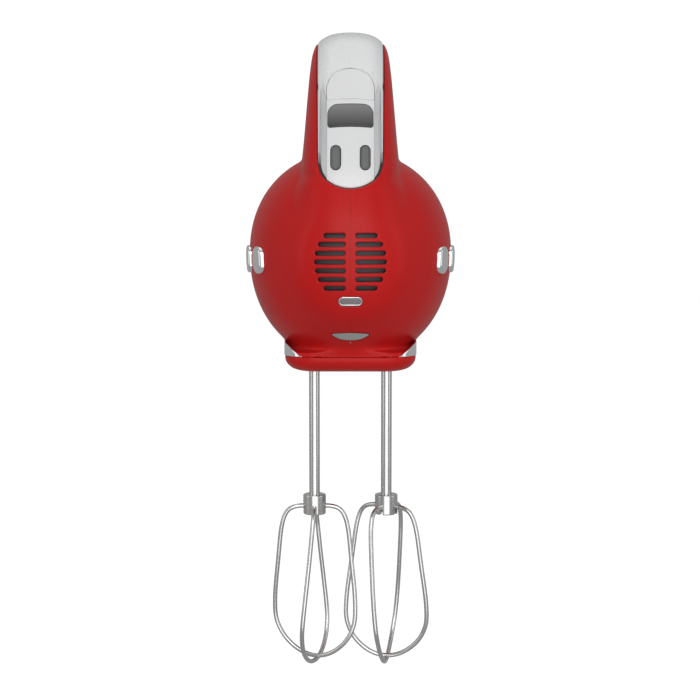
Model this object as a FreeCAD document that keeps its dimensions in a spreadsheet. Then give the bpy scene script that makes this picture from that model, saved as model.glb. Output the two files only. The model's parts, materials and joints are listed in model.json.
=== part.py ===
import FreeCAD, Part
import math
import os
import Sketcher
from FreeCAD import Matrix, Placement, Rotation, Vector

# Hand mixer with two wire beaters. Millimetres, +Z up, the nose points along -Y, and +X is to the
# right of someone who looks at the nose. The origin is on the foot's underside, midway between the
# beater sockets.

DRIVING_SIZES = {
    # body shell
    "wall": 2.5,
    "pod_half_width": 48.0,
    "pod_centre_z": 54.5,
    "pod_above": 51.0,
    "pod_below": 57.0,
    "nose_reach": 61.0,
    "heel_y": 138.0,
    "sole_z": 7.5,
    "nose_face_radius": 27.0,
    "nose_face_z": 51.7,
    "seam_gap": 0.1,
    # foot under the ball
    "foot_half_width": 30.5,
    "foot_front": 36.0,
    "foot_back": 42.0,
    "foot_floor": 2.5,
    "band_top_z": 13.5,
    "band_proud": 0.6,
    # vents, plaque and lens
    "vent_pitch": 3.84,
    "vent_height": 2.0,
    "vent_inner_x": 2.25,
    "plaque_width": 10.6,
    "plaque_height": 4.1,
    "plaque_z": 34.2,
    "lens_width": 17.3,
    "lens_height": 3.7,
    "lens_z": 17.6,
    # handle front
    "panel_thickness": 2.2,
    "panel_half_width": 14.6,
    "panel_low_z": 83.6,
    "panel_side_z": 92.6,
    "gasket_width": 0.45,
    "strip_split_y": -3.0,
    "strip_end_y": 112.0,
    "pad_half_width": 10.8,
    "pad_length": 17.3,
    "pad_centre_y": -30.75,
    "pad_centre_z": 131.75,
    "pad_tilt": 33.2,
    "pad_sunk": 0.5,
    "display_width": 20.4,
    "display_low_z": 112.0,
    "display_high_z": 122.7,
    "button_width": 4.7,
    "button_height": 11.2,
    "button_x": 6.6,
    "button_z": 98.0,
    # side studs
    "stud_height": 12.6,
    "stud_width": 8.4,
    "stud_pitch": 17.0,
    "stud_count": 3,
    "stud_first_y": -31.5,
    "stud_centre_z": 51.8,
    "stud_proud": 2.1,
    # drive
    "shaft_pitch": 34.8,
    "stem_diameter": 5.2,
    "stem_top_z": 30.0,
    "stem_clearance": 0.08,
    "spindle_radius": 4.5,
    "spindle_low_z": 1.5,
    "spindle_top_z": 51.0,
    "bush_radius": 6.5,
    "bush_clearance": 0.06,
    "bush_length": 9.0,
    "gear_teeth": 26,
    "gear_module": 1.0,
    "gear_face": 8.0,
    "worm_starts": 2,
    "worm_length": 14.0,
    "motor_z": 40.0,
    "motor_shaft_radius": 3.0,
    "stator_front_y": 36.0,
    "stator_length": 34.0,
    "stator_half_width": 26.0,
    "stator_half_height": 22.0,
    "bracket_front_y": 25.0,
    "bracket_rear_y": 92.5,
    "bracket_thickness": 3.0,
    "frame_plate_z": 14.0,
    "frame_plate_thickness": 3.0,
    "cover_z": 47.0,
    "cover_thickness": 2.6,
    "post_radius": 1.6,
    "fan_y": 99.0,
    "commutator_radius": 9.0,
    "armature_radius": 14.0,
    "air_gap": 0.5,
    "fan_radius": 21.0,
    # ejector
    "ejector_travel": 3.5,
    "yoke_z": 57.0,
    "yoke_thickness": 3.0,
    "rod_y": -16.0,
    "rod_width": 5.0,
    "pin_head_z": 54.7,
    "pin_head_height": 2.0,
    "spring_radius": 3.6,
    "spring_wire": 0.45,
    "spring_low_z": 49.6,
    # control board behind the panel
    "board_y": -42.5,
    "board_z": 89.5,
    "board_tilt": 25.9,
    # beaters
    "ferrule_diameter": 11.1,
    "ferrule_top_z": -62.5,
    "ferrule_low_z": -72.2,
    "wire_diameter": 2.2,
    "wire_exit_z": -68.5,
    "loop_tip_z": -142.8,
    "loop_radius": 20.4,
    "twist_per_mm": 0.285,
    "left_turn": 0.3,
    "right_turn": 31.1,
    # heel and cord inlet
    "heel_plate_thickness": 2.0,
    "heel_pad_thickness": 1.5,
    "inlet_z": 117.0,
    "inlet_radius": 6.5,
    "inlet_bore_radius": 3.75,
    "inlet_length": 12.0,
}

doc = FreeCAD.newDocument("hand_mixer")
sheet = doc.addObject("Spreadsheet::Sheet", "dims")
for row_number, (alias, value) in enumerate(DRIVING_SIZES.items(), start=1):
    sheet.set(f"A{row_number}", alias)
    sheet.set(f"B{row_number}", str(value))
    sheet.setAlias(f"B{row_number}", alias)
doc.recompute()

pieces = []

X_AXIS = Vector(1, 0, 0)
Y_AXIS = Vector(0, 1, 0)
Z_AXIS = Vector(0, 0, 1)
ALONG_Y = Rotation(X_AXIS, -90)
LEFT = -1
RIGHT = 1
SIDES = (("left", LEFT), ("right", RIGHT))
FAR = 300.0


def dim(alias):
    """One driving size, read back from the sheet."""
    return float(sheet.get(alias))


# ---------------------------------------------------------------- document helpers

def bind(item, formulas):
    """Tie properties of a document object to formulas on the sheet."""
    for prop, formula in formulas.items():
        item.setExpression(prop, formula)
    return item


def keep(item, label):
    """Register a document object as one finished piece."""
    item.Label = label
    pieces.append(item)
    return item


def shape_piece(label, shape, placement=None):
    """A finished piece whose shape is computed here from the sheet's sizes."""
    item = doc.addObject("Part::Feature", label)
    item.Shape = shape
    if placement is not None:
        item.Placement = placement
    return keep(item, label)


def cylinder_object(name, radius, height, placement):
    item = doc.addObject("Part::Cylinder", name)
    item.Placement = placement
    return bind(item, {"Radius": radius, "Height": height})


def tube_piece(label, outer, inner, length, placement):
    """A ring or bush: two bound cylinders, one cut from the other."""
    cut = doc.addObject("Part::Cut", label)
    cut.Base = cylinder_object(label + "_outside", outer, length, placement)
    cut.Tool = cylinder_object(label + "_bore", inner, length, placement)
    return keep(cut, label)


def tube_pair(label, outer, inner, length, places):
    """Two equal rings kept as one group of separate solids."""
    group = doc.addObject("Part::Compound", label)
    rings = []
    for index, place in enumerate(places):
        cut = doc.addObject("Part::Cut", f"{label}_{index}")
        cut.Base = cylinder_object(f"{label}_outside_{index}", outer, length, place)
        cut.Tool = cylinder_object(f"{label}_bore_{index}", inner, length, place)
        rings.append(cut)
    group.Links = rings
    return keep(group, label)


def box_object(name, length, width, height, placement):
    item = doc.addObject("Part::Box", name)
    item.Placement = placement
    return bind(item, {"Length": length, "Width": width, "Height": height})


def origin_plane(body, role):
    """One of a body's own origin planes."""
    return next(feature for feature in body.Origin.OriginFeatures if feature.Role == role)


def sketch_in(body, name, role="XY_Plane"):
    sketch = body.newObject("Sketcher::SketchObject", name)
    sketch.AttachmentSupport = [(origin_plane(body, role), "")]
    sketch.MapMode = "FlatFace"
    return sketch


def sketch_circle(sketch, radius_formula, x=0.0, y=0.0):
    """A circle whose radius is bound to the sheet."""
    index = sketch.addGeometry(Part.Circle(Vector(x, y, 0), Z_AXIS, 1.0), False)
    constraint = sketch.addConstraint(Sketcher.Constraint("Radius", index, 1.0))
    sketch.setExpression(f"Constraints[{constraint}]", radius_formula)


def sketch_polygon(sketch, points):
    """A closed chain of straight lines."""
    for start, end in zip(points, points[1:] + points[:1]):
        sketch.addGeometry(Part.LineSegment(Vector(*start, 0), Vector(*end, 0)), False)


def pad(body, sketch, length_formula, name, reverse=False):
    feature = body.newObject("PartDesign::Pad", name)
    feature.Profile = sketch
    feature.Reversed = reverse
    feature.setExpression("Length", length_formula)
    sketch.Visibility = False
    return feature


def pocket_through(body, sketch, name):
    feature = body.newObject("PartDesign::Pocket", name)
    feature.Profile = sketch
    feature.Type = 1
    feature.Midplane = True
    return feature


def turned_piece(label, profile, placement):
    """A PartDesign body turned about its own Z axis from (radius, height) points."""
    body = doc.addObject("PartDesign::Body", label)
    sketch = sketch_in(body, label + "_profile", "XZ_Plane")
    sketch_polygon(sketch, profile)
    turn = body.newObject("PartDesign::Revolution", label + "_turn")
    turn.Profile = sketch
    turn.ReferenceAxis = (sketch, ["V_Axis"])
    turn.Angle = 360.0
    body.Placement = placement
    return keep(body, label)


# ---------------------------------------------------------------- plain geometry helpers

def polygon_face(points):
    return Part.Face(Part.makePolygon([Vector(*point) for point in points + points[:1]]))


def closed_wire(edges):
    return Part.Wire(Part.__sortEdges__(edges))


def smooth_edge(points):
    curve = Part.BSplineCurve()
    curve.interpolate([Vector(*point) for point in points])
    return curve.toShape()


def shifted_spline(points, plane_normal, shift):
    """Smooth edge through the points, each moved sideways by shift (inwards when positive)."""
    curve = Part.BSplineCurve()
    places = [Vector(*point) for point in points]
    curve.interpolate(places)
    moved = []
    for place in places:
        tangent = curve.tangent(curve.parameter(place))[0]
        moved.append(place + tangent.cross(plane_normal) * shift)
    return smooth_edge(moved)


def line_edge(start, end):
    return Part.LineSegment(Vector(*start), Vector(*end)).toShape()


def arc_edge(start, middle, end):
    return Part.Arc(Vector(*start), Vector(*middle), Vector(*end)).toShape()


def box_between(low, high):
    size = Vector(*high) - Vector(*low)
    return Part.makeBox(size.x, size.y, size.z, Vector(*low))


def rounded_rectangle(half_x, half_y, radius, plane="XY"):
    """A face with rounded corners, centred on the origin of the plane named."""
    rectangle = Part.makePlane(2 * half_x, 2 * half_y, Vector(-half_x, -half_y, 0))
    solid = rectangle.extrude(Z_AXIS)
    uprights = [edge for edge in solid.Edges if abs(edge.tangentAt(edge.FirstParameter).z) > 0.99]
    rounded = solid.makeFillet(radius, uprights)
    face = next(f for f in rounded.Faces if f.normalAt(0, 0).z < -0.99)
    if plane == "XZ":
        face.rotate(Vector(0, 0, 0), X_AXIS, 90)
    return face


def pill_face_xz(width, height, x, z):
    """A pill standing or lying in the XZ plane, as a face at y = 0."""
    radius = min(width, height) / 2
    reach = max(width, height) / 2 - radius
    if height > width:
        ends = (Vector(x, 0, z - reach), Vector(x, 0, z + reach))
        across = Vector(radius, 0, 0)
        along = Vector(0, 0, radius)
    else:
        ends = (Vector(x - reach, 0, z), Vector(x + reach, 0, z))
        across = Vector(0, 0, -radius)
        along = Vector(radius, 0, 0)
    low, high = ends
    edges = [
        Part.LineSegment(low + across, high + across).toShape(),
        Part.Arc(high + across, high + along, high - across).toShape(),
        Part.LineSegment(high - across, low - across).toShape(),
        Part.Arc(low - across, low - along, low + across).toShape(),
    ]
    return Part.Face(Part.Wire(edges))


def along_y(face, low=-FAR, high=FAR):
    """Sweep a face that lies at y = 0 from y = low to y = high."""
    moved = face.copy()
    moved.translate(Vector(0, low, 0))
    return moved.extrude(Vector(0, high - low, 0))


def along_x(face, half_width):
    """Sweep a face that lies at x = 0 to both sides."""
    moved = face.copy()
    moved.translate(Vector(-half_width, 0, 0))
    return moved.extrude(Vector(2 * half_width, 0, 0))


def scaled_sphere(rx, ry, rz, low_angle, high_angle):
    """Part of an ellipsoid between two latitudes, on the pod's centre."""
    ball = Part.makeSphere(1.0, Vector(0, 0, 0), Z_AXIS, low_angle, high_angle, 360)
    matrix = Matrix()
    matrix.scale(rx, ry, rz)
    scaled = ball.transformGeometry(matrix)
    scaled.translate(Vector(0, 0, dim("pod_centre_z")))
    return scaled


# ---------------------------------------------------------------- outer form

def pod_section(y, half_width, above, below, inset):
    """An upright egg-shaped wire across the pod."""
    arcs = []
    for height, sign in ((above - inset, 1), (below - inset, -1)):
        arc = Part.Arc(Vector(-1, 0, 0), Vector(0, 0, sign), Vector(1, 0, 0)).toShape()
        matrix = Matrix()
        matrix.scale(half_width - inset, 1, height)
        scaled = arc.transformGeometry(matrix)
        scaled.translate(Vector(0, y, dim("pod_centre_z")))
        arcs.append(scaled)
    return Part.Wire(arcs)


def pod_solid(inset=0.0, nose_extra=0.0):
    """Ball at the front, tapering to a flat heel; inset shrinks it for the inside."""
    half = dim("pod_half_width")
    above = dim("pod_above")
    below = dim("pod_below")
    reach = dim("nose_reach") + nose_extra - inset
    front_box = box_between((-FAR, -FAR, -FAR), (FAR, 0, FAR))
    upper = scaled_sphere(half - inset, reach, above - inset, 0, 90).common(front_box)
    lower = scaled_sphere(half - inset, reach, below - inset, -90, 0).common(front_box)
    heel = dim("heel_y") - inset
    stations = (
        (0.0, half, above, below),
        (0.29 * heel, 0.99 * half, 0.985 * above, 0.95 * below),
        (0.62 * heel, 0.93 * half, 0.91 * above, 0.83 * below),
        (0.87 * heel, 0.85 * half, 0.80 * above, 0.71 * below),
        (heel, 0.77 * half, 0.71 * above, 0.63 * below),
    )
    rear = Part.makeLoft([pod_section(*station, inset) for station in stations], True, False)
    sole = box_between((-FAR, -FAR, dim("sole_z") + inset), (FAR, FAR, FAR))
    return upper.fuse([lower, rear]).common(sole)


def handle_side_face(inset):
    """Side outline of the handle and its root, shrunk all round by inset."""
    outline = [
        (0, -56, 70), (0, -52.5, 88), (0, -44, 108), (0, -34, 127), (0, -21, 145), (0, -5, 157),
        (0, 15, 161.6), (0, 50, 162), (0, 88, 159), (0, 114, 150), (0, 130, 134), (0, 137, 112),
    ]
    top = shifted_spline(outline, X_AXIS, inset)
    front_foot = Vector(0, -40, 60)
    back_foot = Vector(0, 137 - inset, 60)
    front_top, back_top = (vertex.Point for vertex in top.Vertexes)
    edges = [
        top,
        line_edge(back_top, back_foot),
        line_edge(back_foot, front_foot),
        line_edge(front_foot, front_top),
    ]
    return Part.Face(closed_wire(edges))


def handle_front_face(inset):
    """Front outline of the handle: cheeks that widen downwards, and an arched top."""
    right_cheek = [
        (24.5, 0, 60), (23.7, 0, 88), (21.9, 0, 108), (20.0, 0, 127), (18.6, 0, 141), (17.6, 0, 149),
        (15.6, 0, 153.6), (11.5, 0, 157.6), (6.0, 0, 160.2), (0, 0, 161.0),
    ]
    left_cheek = [(-x, y, z) for x, y, z in reversed(right_cheek[:-1])]
    side = shifted_spline(right_cheek + left_cheek, Y_AXIS, inset)
    right_foot, left_foot = (vertex.Point for vertex in side.Vertexes)
    return Part.Face(closed_wire([side, line_edge(left_foot, right_foot)]))


def finger_gap_solid(inset):
    """The opening that fingers pass through, grown all round by inset."""
    corners = [(0, -5, 107.2), (0, 9, 135.5), (0, 100, 133.5), (0, 111, 112), (0, 104, 103)]
    prism = along_x(polygon_face(corners), 2 * dim("pod_half_width"))
    crossways = [e for e in prism.Edges if abs(e.tangentAt(e.FirstParameter).x) > 0.99]
    rounded = prism.makeFillet(7.0, crossways)
    if not inset:
        return rounded
    outline = next(f for f in rounded.Faces if f.normalAt(0, 0).x < -0.99).OuterWire.makeOffset2D(inset)
    return along_x(Part.Face(outline), dim("pod_half_width"))


def handle_solid(inset=0.0):
    """Handle with its root, without the finger gap."""
    side = along_x(handle_side_face(inset), dim("pod_half_width"))
    front = along_y(handle_front_face(inset))
    return side.common(front)


def nose_boss(grow=0.0):
    """Round raised face around the vents; grow pushes its front surface out."""
    disc = Part.makeCylinder(
        dim("nose_face_radius"), 40, Vector(0, -70, dim("nose_face_z")), Y_AXIS)
    radii = (dim("pod_half_width") + 4, dim("nose_reach") + 2, dim("pod_above") + 5)
    crown = scaled_sphere(*(radius + grow for radius in radii), -90, 90)
    return disc.common(crown)


def front_outline(grow=0.0):
    """Front view of the whole silver strip: straight sides and a round lower end."""
    half = dim("panel_half_width") + grow
    side_z = dim("panel_side_z")
    low_z = dim("panel_low_z") - grow
    edges = [
        line_edge((half, 0, side_z), (half + 0.9, 0, 150)),
        line_edge((half + 0.9, 0, 150), (half + 0.9, 0, 175)),
        line_edge((half + 0.9, 0, 175), (-half - 0.9, 0, 175)),
        line_edge((-half - 0.9, 0, 175), (-half - 0.9, 0, 150)),
        line_edge((-half - 0.9, 0, 150), (-half, 0, side_z)),
        arc_edge((-half, 0, side_z), (0, 0, low_z), (half, 0, side_z)),
    ]
    return Part.Face(Part.Wire(edges))


def pad_rotation():
    """Turns +Y to the pad's inward direction and +Z to its slope."""
    return Rotation(X_AXIS, -dim("pad_tilt"))


def pad_prism(grow, outer, inner):
    """Eject pad's outline (flat below, arched above) swept along its stroke."""
    half = dim("pad_half_width") + grow
    low = -dim("pad_length") / 2 - grow
    high = dim("pad_length") / 2 + grow
    shoulder = high - 4.8
    edges = [
        line_edge((-half, 0, low), (half, 0, low)),
        line_edge((half, 0, low), (half, 0, shoulder)),
        arc_edge((half, 0, shoulder), (0, 0, high), (-half, 0, shoulder)),
        line_edge((-half, 0, shoulder), (-half, 0, low)),
    ]
    prism = along_y(Part.Face(Part.Wire(edges)), outer, inner)
    return placed_on_pad(prism)


def placed_on_pad(shape):
    shape.Placement = Placement(Vector(0, dim("pad_centre_y"), dim("pad_centre_z")), pad_rotation())
    return shape


def display_outline(grow=0.0):
    """Front view of the display: flat bottom and two large upper corners."""
    half = dim("display_width") / 2 + grow
    low = dim("display_low_z") - grow
    high = dim("display_high_z") + grow
    large = 4.0 + grow
    small = 1.2 + grow
    edges = [line_edge((-half + small, 0, low), (half - small, 0, low))]
    edges.append(corner_arc(half - small, low + small, small, -90))
    edges.append(line_edge((half, 0, low + small), (half, 0, high - large)))
    edges.append(corner_arc(half - large, high - large, large, 0))
    edges.append(line_edge((half - large, 0, high), (-half + large, 0, high)))
    edges.append(corner_arc(-half + large, high - large, large, 90))
    edges.append(line_edge((-half, 0, high - large), (-half, 0, low + small)))
    edges.append(corner_arc(-half + small, low + small, small, 180))
    return Part.Face(Part.Wire(edges))


def corner_arc(x, z, radius, start_angle):
    """A quarter circle in the XZ plane about (x, z), anticlockwise seen from the front."""
    ends = []
    for turn in (0, 45, 90):
        angle = math.radians(start_angle + turn)
        ends.append((x + radius * math.cos(angle), 0, z + radius * math.sin(angle)))
    return arc_edge(*ends)


def foot_outline_solid(grow, low_z, high_z):
    """The foot's plan, swept upright between two heights."""
    half = dim("foot_half_width") + grow
    front = dim("foot_front") + grow
    back = dim("foot_back") + grow
    plan = rounded_rectangle(half, (front + back) / 2, 15.0 + grow)
    plan.translate(Vector(0, (back - front) / 2, low_z))
    return plan.extrude(Vector(0, 0, high_z - low_z))


# Heights and places that several pieces share.
spindle_x = dim("shaft_pitch") / 2
stem_radius = dim("stem_diameter") / 2
wire_radius = dim("wire_diameter") / 2
handle_outer = handle_solid()
pod_outer = pod_solid()
inlet_place = Placement(Vector(0, dim("heel_y") - dim("inlet_length"), dim("inlet_z")), ALONG_Y)

# (y, z) of the five screws that join the halves, clear of everything inside
SCREW_PLACES = ((118, 36), (119, 84), (-36, 74), (-34, 27), (60, 144.5))


def screw_post(y, z, low_x, high_x, radius):
    return Part.makeCylinder(radius, high_x - low_x, Vector(low_x, y, z), X_AXIS)


def build_housing():
    """Two hollow half shells split on the middle plane."""
    outer = pod_outer.fuse([handle_outer, nose_boss()]).cut(finger_gap_solid(0.0))
    wall = dim("wall")
    cavity = pod_solid(wall).fuse(handle_solid(wall)).cut(finger_gap_solid(wall))
    shell = outer.cut(cavity)
    strip = along_y(front_outline(dim("gasket_width") + 0.05), -FAR, dim("strip_end_y") + 0.1)
    skin = handle_solid(-2.0).cut(handle_solid(dim("panel_thickness") + 1.0))
    strip_zone = box_between((-FAR, -FAR, 80), (FAR, FAR, FAR))
    shell = shell.cut(strip.common(skin).common(strip_zone))
    for row in range(-3, 4):
        for side in (LEFT, RIGHT):
            shell = shell.cut(vent_slot(row, side))
    shell = shell.cut(along_y(plaque_face(0.05), -FAR, 0)).cut(along_y(lens_face(0.05), -FAR, 0))
    sole_opening = foot_outline_solid(-6.0, 0, dim("sole_z") + 4)
    shell = shell.cut(sole_opening)
    shell = shell.cut(foot_outline_solid(0.65, 0, dim("sole_z")))
    inlet_start = Vector(0, dim("heel_y") - 20, dim("inlet_z"))
    inlet = Part.makeCylinder(dim("inlet_radius") + 0.05, 30, inlet_start, Y_AXIS)
    shell = shell.cut(inlet)
    for name, side in SIDES:
        half = half_space(side, dim("seam_gap") / 2)
        posts = outer.common(half)
        solid = shell.common(half)
        for y, z in SCREW_PLACES:
            low_x, high_x = sorted((side * FAR / 4, side * dim("seam_gap") / 2))
            solid = solid.fuse(screw_post(y, z, low_x, high_x, 3.6).common(posts))
        for y, z in SCREW_PLACES:
            solid = solid.cut(screw_post(y, z, -14, FAR / 4, 1.5))
            solid = solid.cut(screw_post(y, z, 10, FAR / 4, 3.1))
        shape_piece(f"housing_{name}", largest(solid))


def half_space(side, gap):
    if side == LEFT:
        return box_between((-FAR, -FAR, -FAR), (-gap, FAR, FAR))
    return box_between((gap, -FAR, -FAR), (FAR, FAR, FAR))


def largest(shape):
    """The main solid of a boolean result, without loose slivers."""
    return max(shape.Solids, key=lambda solid: solid.Volume)


def vent_slot(row, side):
    """One horizontal slot; rows are shorter towards the top and bottom of the round field."""
    field_radius = 16.4
    z = dim("nose_face_z") + row * dim("vent_pitch")
    reach = math.sqrt(field_radius ** 2 - (0.93 * row * dim("vent_pitch")) ** 2)
    inner = dim("vent_inner_x")
    width = reach - inner
    centre = side * (inner + width / 2)
    return along_y(pill_face_xz(width, dim("vent_height"), centre, z), -FAR, -30)


def plaque_face(grow):
    return pill_face_xz(
        dim("plaque_width") + 2 * grow, dim("plaque_height") + 2 * grow, 0, dim("plaque_z"))


def lens_face(grow):
    """Flat on top, bowed below."""
    half = dim("lens_width") / 2 + grow
    high = dim("lens_z") + dim("lens_height") / 2 + grow
    low = high - dim("lens_height") - 2 * grow
    edges = [
        arc_edge((-half, 0, high - 0.6), (0, 0, high), (half, 0, high - 0.6)),
        arc_edge((half, 0, high - 0.6), (0, 0, low), (-half, 0, high - 0.6)),
    ]
    return Part.Face(Part.Wire(edges))


def nose_skin(proud, depth):
    """The layer of the nose between two depths, for pieces set into it."""
    grown = pod_outer_grown(proud)
    return grown.cut(pod_outer_grown(-depth))


def pod_outer_grown(grow):
    return pod_solid(-grow).fuse(nose_boss(grow))


def build_nose_trim():
    """Blank plaque with its rim, and the lens-shaped inlay."""
    front = box_between((-FAR, -FAR, -FAR), (FAR, -20, FAR))
    skin = nose_skin(0.5, 1.6).common(front)
    rim_skin = nose_skin(0.8, 1.6).common(front)
    plaque = along_y(plaque_face(-0.65), -FAR, 0)
    shape_piece("nose_plaque", largest(plaque.common(skin)))
    rim = along_y(plaque_face(0.0), -FAR, 0).cut(plaque)
    shape_piece("nose_plaque_rim", largest(rim.common(rim_skin)))
    shape_piece("nose_lens_trim", largest(along_y(lens_face(0.0), -FAR, 0).common(skin)))


def build_side_studs():
    """A row of plain upright pill studs on each side of the ball, in one node a side."""
    shell = pod_solid(-dim("stud_proud")).cut(pod_solid(-0.03))
    for name, side in SIDES:
        solids = []
        for index in range(int(dim("stud_count"))):
            y = dim("stud_first_y") + index * dim("stud_pitch")
            face = pill_face_xz(dim("stud_width"), dim("stud_height"), 0, dim("stud_centre_z"))
            face.rotate(Vector(0, 0, 0), Z_AXIS, 90)
            face.translate(Vector(0, y, 0))
            prism = face.extrude(Vector(side * 70, 0, 0))
            solids.append(largest(prism.common(shell)))
        shape_piece(f"side_studs_{name}", Part.Compound(solids))


def build_panel_parts():
    """Silver front panel and top strip, gasket, display window, eject pad and buttons."""
    thickness = dim("panel_thickness")
    silver = handle_outer.cut(handle_solid(thickness)).common(along_y(front_outline()))
    front = box_between((-FAR, -FAR, -FAR), (FAR, dim("strip_split_y"), FAR))

    panel = silver.common(front).cut(pad_prism(0.15, -12, 12))
    panel = panel.cut(along_y(display_outline(0.08), -FAR, 60))
    for side in (LEFT, RIGHT):
        hole = pill_face_xz(
            dim("button_width") + 0.6, dim("button_height") + 0.6, side * dim("button_x"), dim("button_z"))
        panel = panel.cut(along_y(hole, -FAR, 60))
    shape_piece("control_panel", largest(panel))

    top_zone = box_between((-FAR, dim("strip_split_y") + 0.3, 120), (FAR, dim("strip_end_y"), FAR))
    shape_piece("handle_top_strip", largest(silver.common(top_zone)))

    ring = along_y(front_outline(dim("gasket_width"))).cut(along_y(front_outline(0.03)))
    gasket_zone = box_between((-FAR, -FAR, 80), (FAR, dim("strip_end_y"), FAR))
    gasket = ring.common(handle_outer.cut(handle_solid(1.6))).common(gasket_zone)
    shape_piece("handle_gasket", Part.Compound(big_solids(gasket, 5.0)))

    window_skin = handle_solid(0.25).cut(handle_solid(thickness - 0.2))
    window = along_y(display_outline(0.0), -FAR, 60).common(window_skin)
    shape_piece("display_window", largest(window.common(front)))

    button_skin = handle_solid(-0.5).cut(handle_solid(4.2)).common(front)
    for name, side in SIDES:
        face = pill_face_xz(
            dim("button_width"), dim("button_height"), side * dim("button_x"), dim("button_z"))
        shape_piece(f"speed_button_{name}", largest(along_y(face, -FAR, 0).common(button_skin)))


def big_solids(shape, least):
    return [solid for solid in shape.Solids if solid.Volume > least]


# ---------------------------------------------------------------- foot

def build_foot():
    """Red foot with two socket holes, silver fins and socket collars."""
    foot = foot_outline_solid(0.0, 0.0, dim("sole_z"))
    rim = [e for e in foot.Edges if e.BoundBox.ZMax < 0.01]
    foot = foot.makeFillet(5.4, rim)
    inside = foot_outline_solid(-6.2, dim("foot_floor"), dim("sole_z") + 1)
    foot = foot.cut(inside)
    for _, side in SIDES:
        foot = foot.cut(Part.makeCylinder(dim("bush_radius"), 20, Vector(side * spindle_x, 0, -5)))
    shape_piece("foot", largest(foot))

    layer = foot_outline_solid(dim("band_proud"), dim("sole_z"), dim("band_top_z"))
    layer = layer.cut(foot_outline_solid(-6.0, 0, 20)).cut(pod_solid(-0.05))
    for name, side in SIDES:
        shape_piece(f"foot_band_{name}", largest(layer.common(half_space(side, 14))))

    collars = []
    for _, side in SIDES:
        disc = Part.makeCylinder(4.6, 0.9, Vector(side * (spindle_x + 0.9), 0, -0.9))
        hole = Part.makeCylinder(stem_radius + 0.3, 10, Vector(side * spindle_x, 0, -5))
        collars.append(disc.cut(hole))
    shape_piece("socket_collars", Part.Compound(collars))


# ---------------------------------------------------------------- gearbox

def build_gearbox():
    """Lower frame with posts, cover plate, bushes and the worm's front bush."""
    frame = doc.addObject("PartDesign::Body", "gearbox_frame")
    plate = sketch_in(frame, "gearbox_frame_plan")
    sketch_polygon(plate, [(-25, -13), (-17, -18), (17, -18), (25, -13), (25, 17), (-25, 17)])
    for _, side in SIDES:
        sketch_circle(plate, "dims.bush_radius", side * spindle_x, 0)
    pad(frame, plate, "dims.frame_plate_thickness", "gearbox_frame_plate")
    frame.Placement = Placement(Vector(0, 0, dim("frame_plate_z")), Rotation())
    posts = sketch_in(frame, "gearbox_frame_post_plan")
    posts.AttachmentOffset = Placement(Vector(0, 0, dim("frame_plate_thickness")), Rotation())
    for x, y in ((-5.5, -14.5), (5.5, -14.5), (-5.5, 14.2), (5.5, 14.2)):
        sketch_circle(posts, "dims.post_radius", x, y)
    post_height = "dims.cover_z - dims.frame_plate_z - dims.frame_plate_thickness"
    frame.Tip = pad(frame, posts, post_height, "gearbox_frame_posts")
    keep(frame, "gearbox_frame")

    cover = doc.addObject("PartDesign::Body", "gearbox_cover")
    plan = sketch_in(cover, "gearbox_cover_plan")
    sketch_polygon(plan, [(-29, -14), (-20, -22), (20, -22), (29, -14), (29, 18), (-29, 18)])
    for _, side in SIDES:
        sketch_circle(plan, "dims.bush_radius", side * spindle_x, 0)
    pad(cover, plan, "dims.cover_thickness", "gearbox_cover_plate")
    cover.Placement = Placement(Vector(0, 0, dim("cover_z")), Rotation())
    keep(cover, "gearbox_cover")

    bore = "dims.spindle_radius + dims.bush_clearance"
    upper = ("upper_bushes", "dims.cover_thickness", dim("cover_z"))
    for label, length, low_z in (("lower_bushes", "dims.bush_length", 0.0), upper):
        places = [Placement(Vector(side * spindle_x, 0, low_z), Rotation()) for _, side in SIDES]
        tube_pair(label, "dims.bush_radius", bore, length, places)
    sleeve_place = Placement(Vector(0, -22.5, dim("motor_z")), ALONG_Y)
    sleeve_bore = "dims.motor_shaft_radius + dims.bush_clearance"
    tube_piece("worm_front_bush", "5", sleeve_bore, "4.5", sleeve_place)
    block = box_between((-6.5, -22.5, 30), (6.5, -18.1, dim("cover_z")))
    block = block.cut(Part.makeCylinder(5, 20, Vector(0, -30, dim("motor_z")), Y_AXIS))
    shape_piece("worm_support", largest(block))


def gear_points(turn, z):
    """Corners of a straight-flanked gear, one tooth centred on the turn angle."""
    teeth = int(dim("gear_teeth"))
    module = dim("gear_module")
    pitch_radius = teeth * module / 2
    tip = pitch_radius + 0.8 * module
    root = pitch_radius - 1.1 * module
    half_tip = 0.24 * module / tip
    half_pitch = 0.62 * module / pitch_radius
    half_root = 1.02 * module / root
    points = []
    for tooth in range(teeth):
        middle = turn + 2 * math.pi * tooth / teeth
        for radius, offset in (
            (root, -half_root), (pitch_radius, -half_pitch), (tip, -half_tip),
            (tip, half_tip), (pitch_radius, half_pitch), (root, half_root),
        ):
            angle = middle + offset
            points.append(Vector(radius * math.cos(angle), radius * math.sin(angle), z))
    return points


def twisted_gear(turn, half_twist, low_z, high_z):
    """Gear whose teeth lean evenly from one end face to the other."""
    low = gear_points(turn - half_twist, low_z)
    high = gear_points(turn + half_twist, high_z)
    faces = [Part.Face(Part.makePolygon(ring + ring[:1])) for ring in (low, high)]
    for index, corner in enumerate(low):
        after = (index + 1) % len(low)
        foot = line_edge(corner, low[after])
        top = line_edge(high[index], high[after])
        faces.append(Part.makeRuledSurface(foot, top))
    shell = Part.makeShell(faces)
    shell.sewShape()
    return Part.makeSolid(shell)


def worm_lead():
    return math.pi * dim("gear_module") * dim("worm_starts")


def worm_pitch_radius():
    return spindle_x - dim("gear_teeth") * dim("gear_module") / 2


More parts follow.
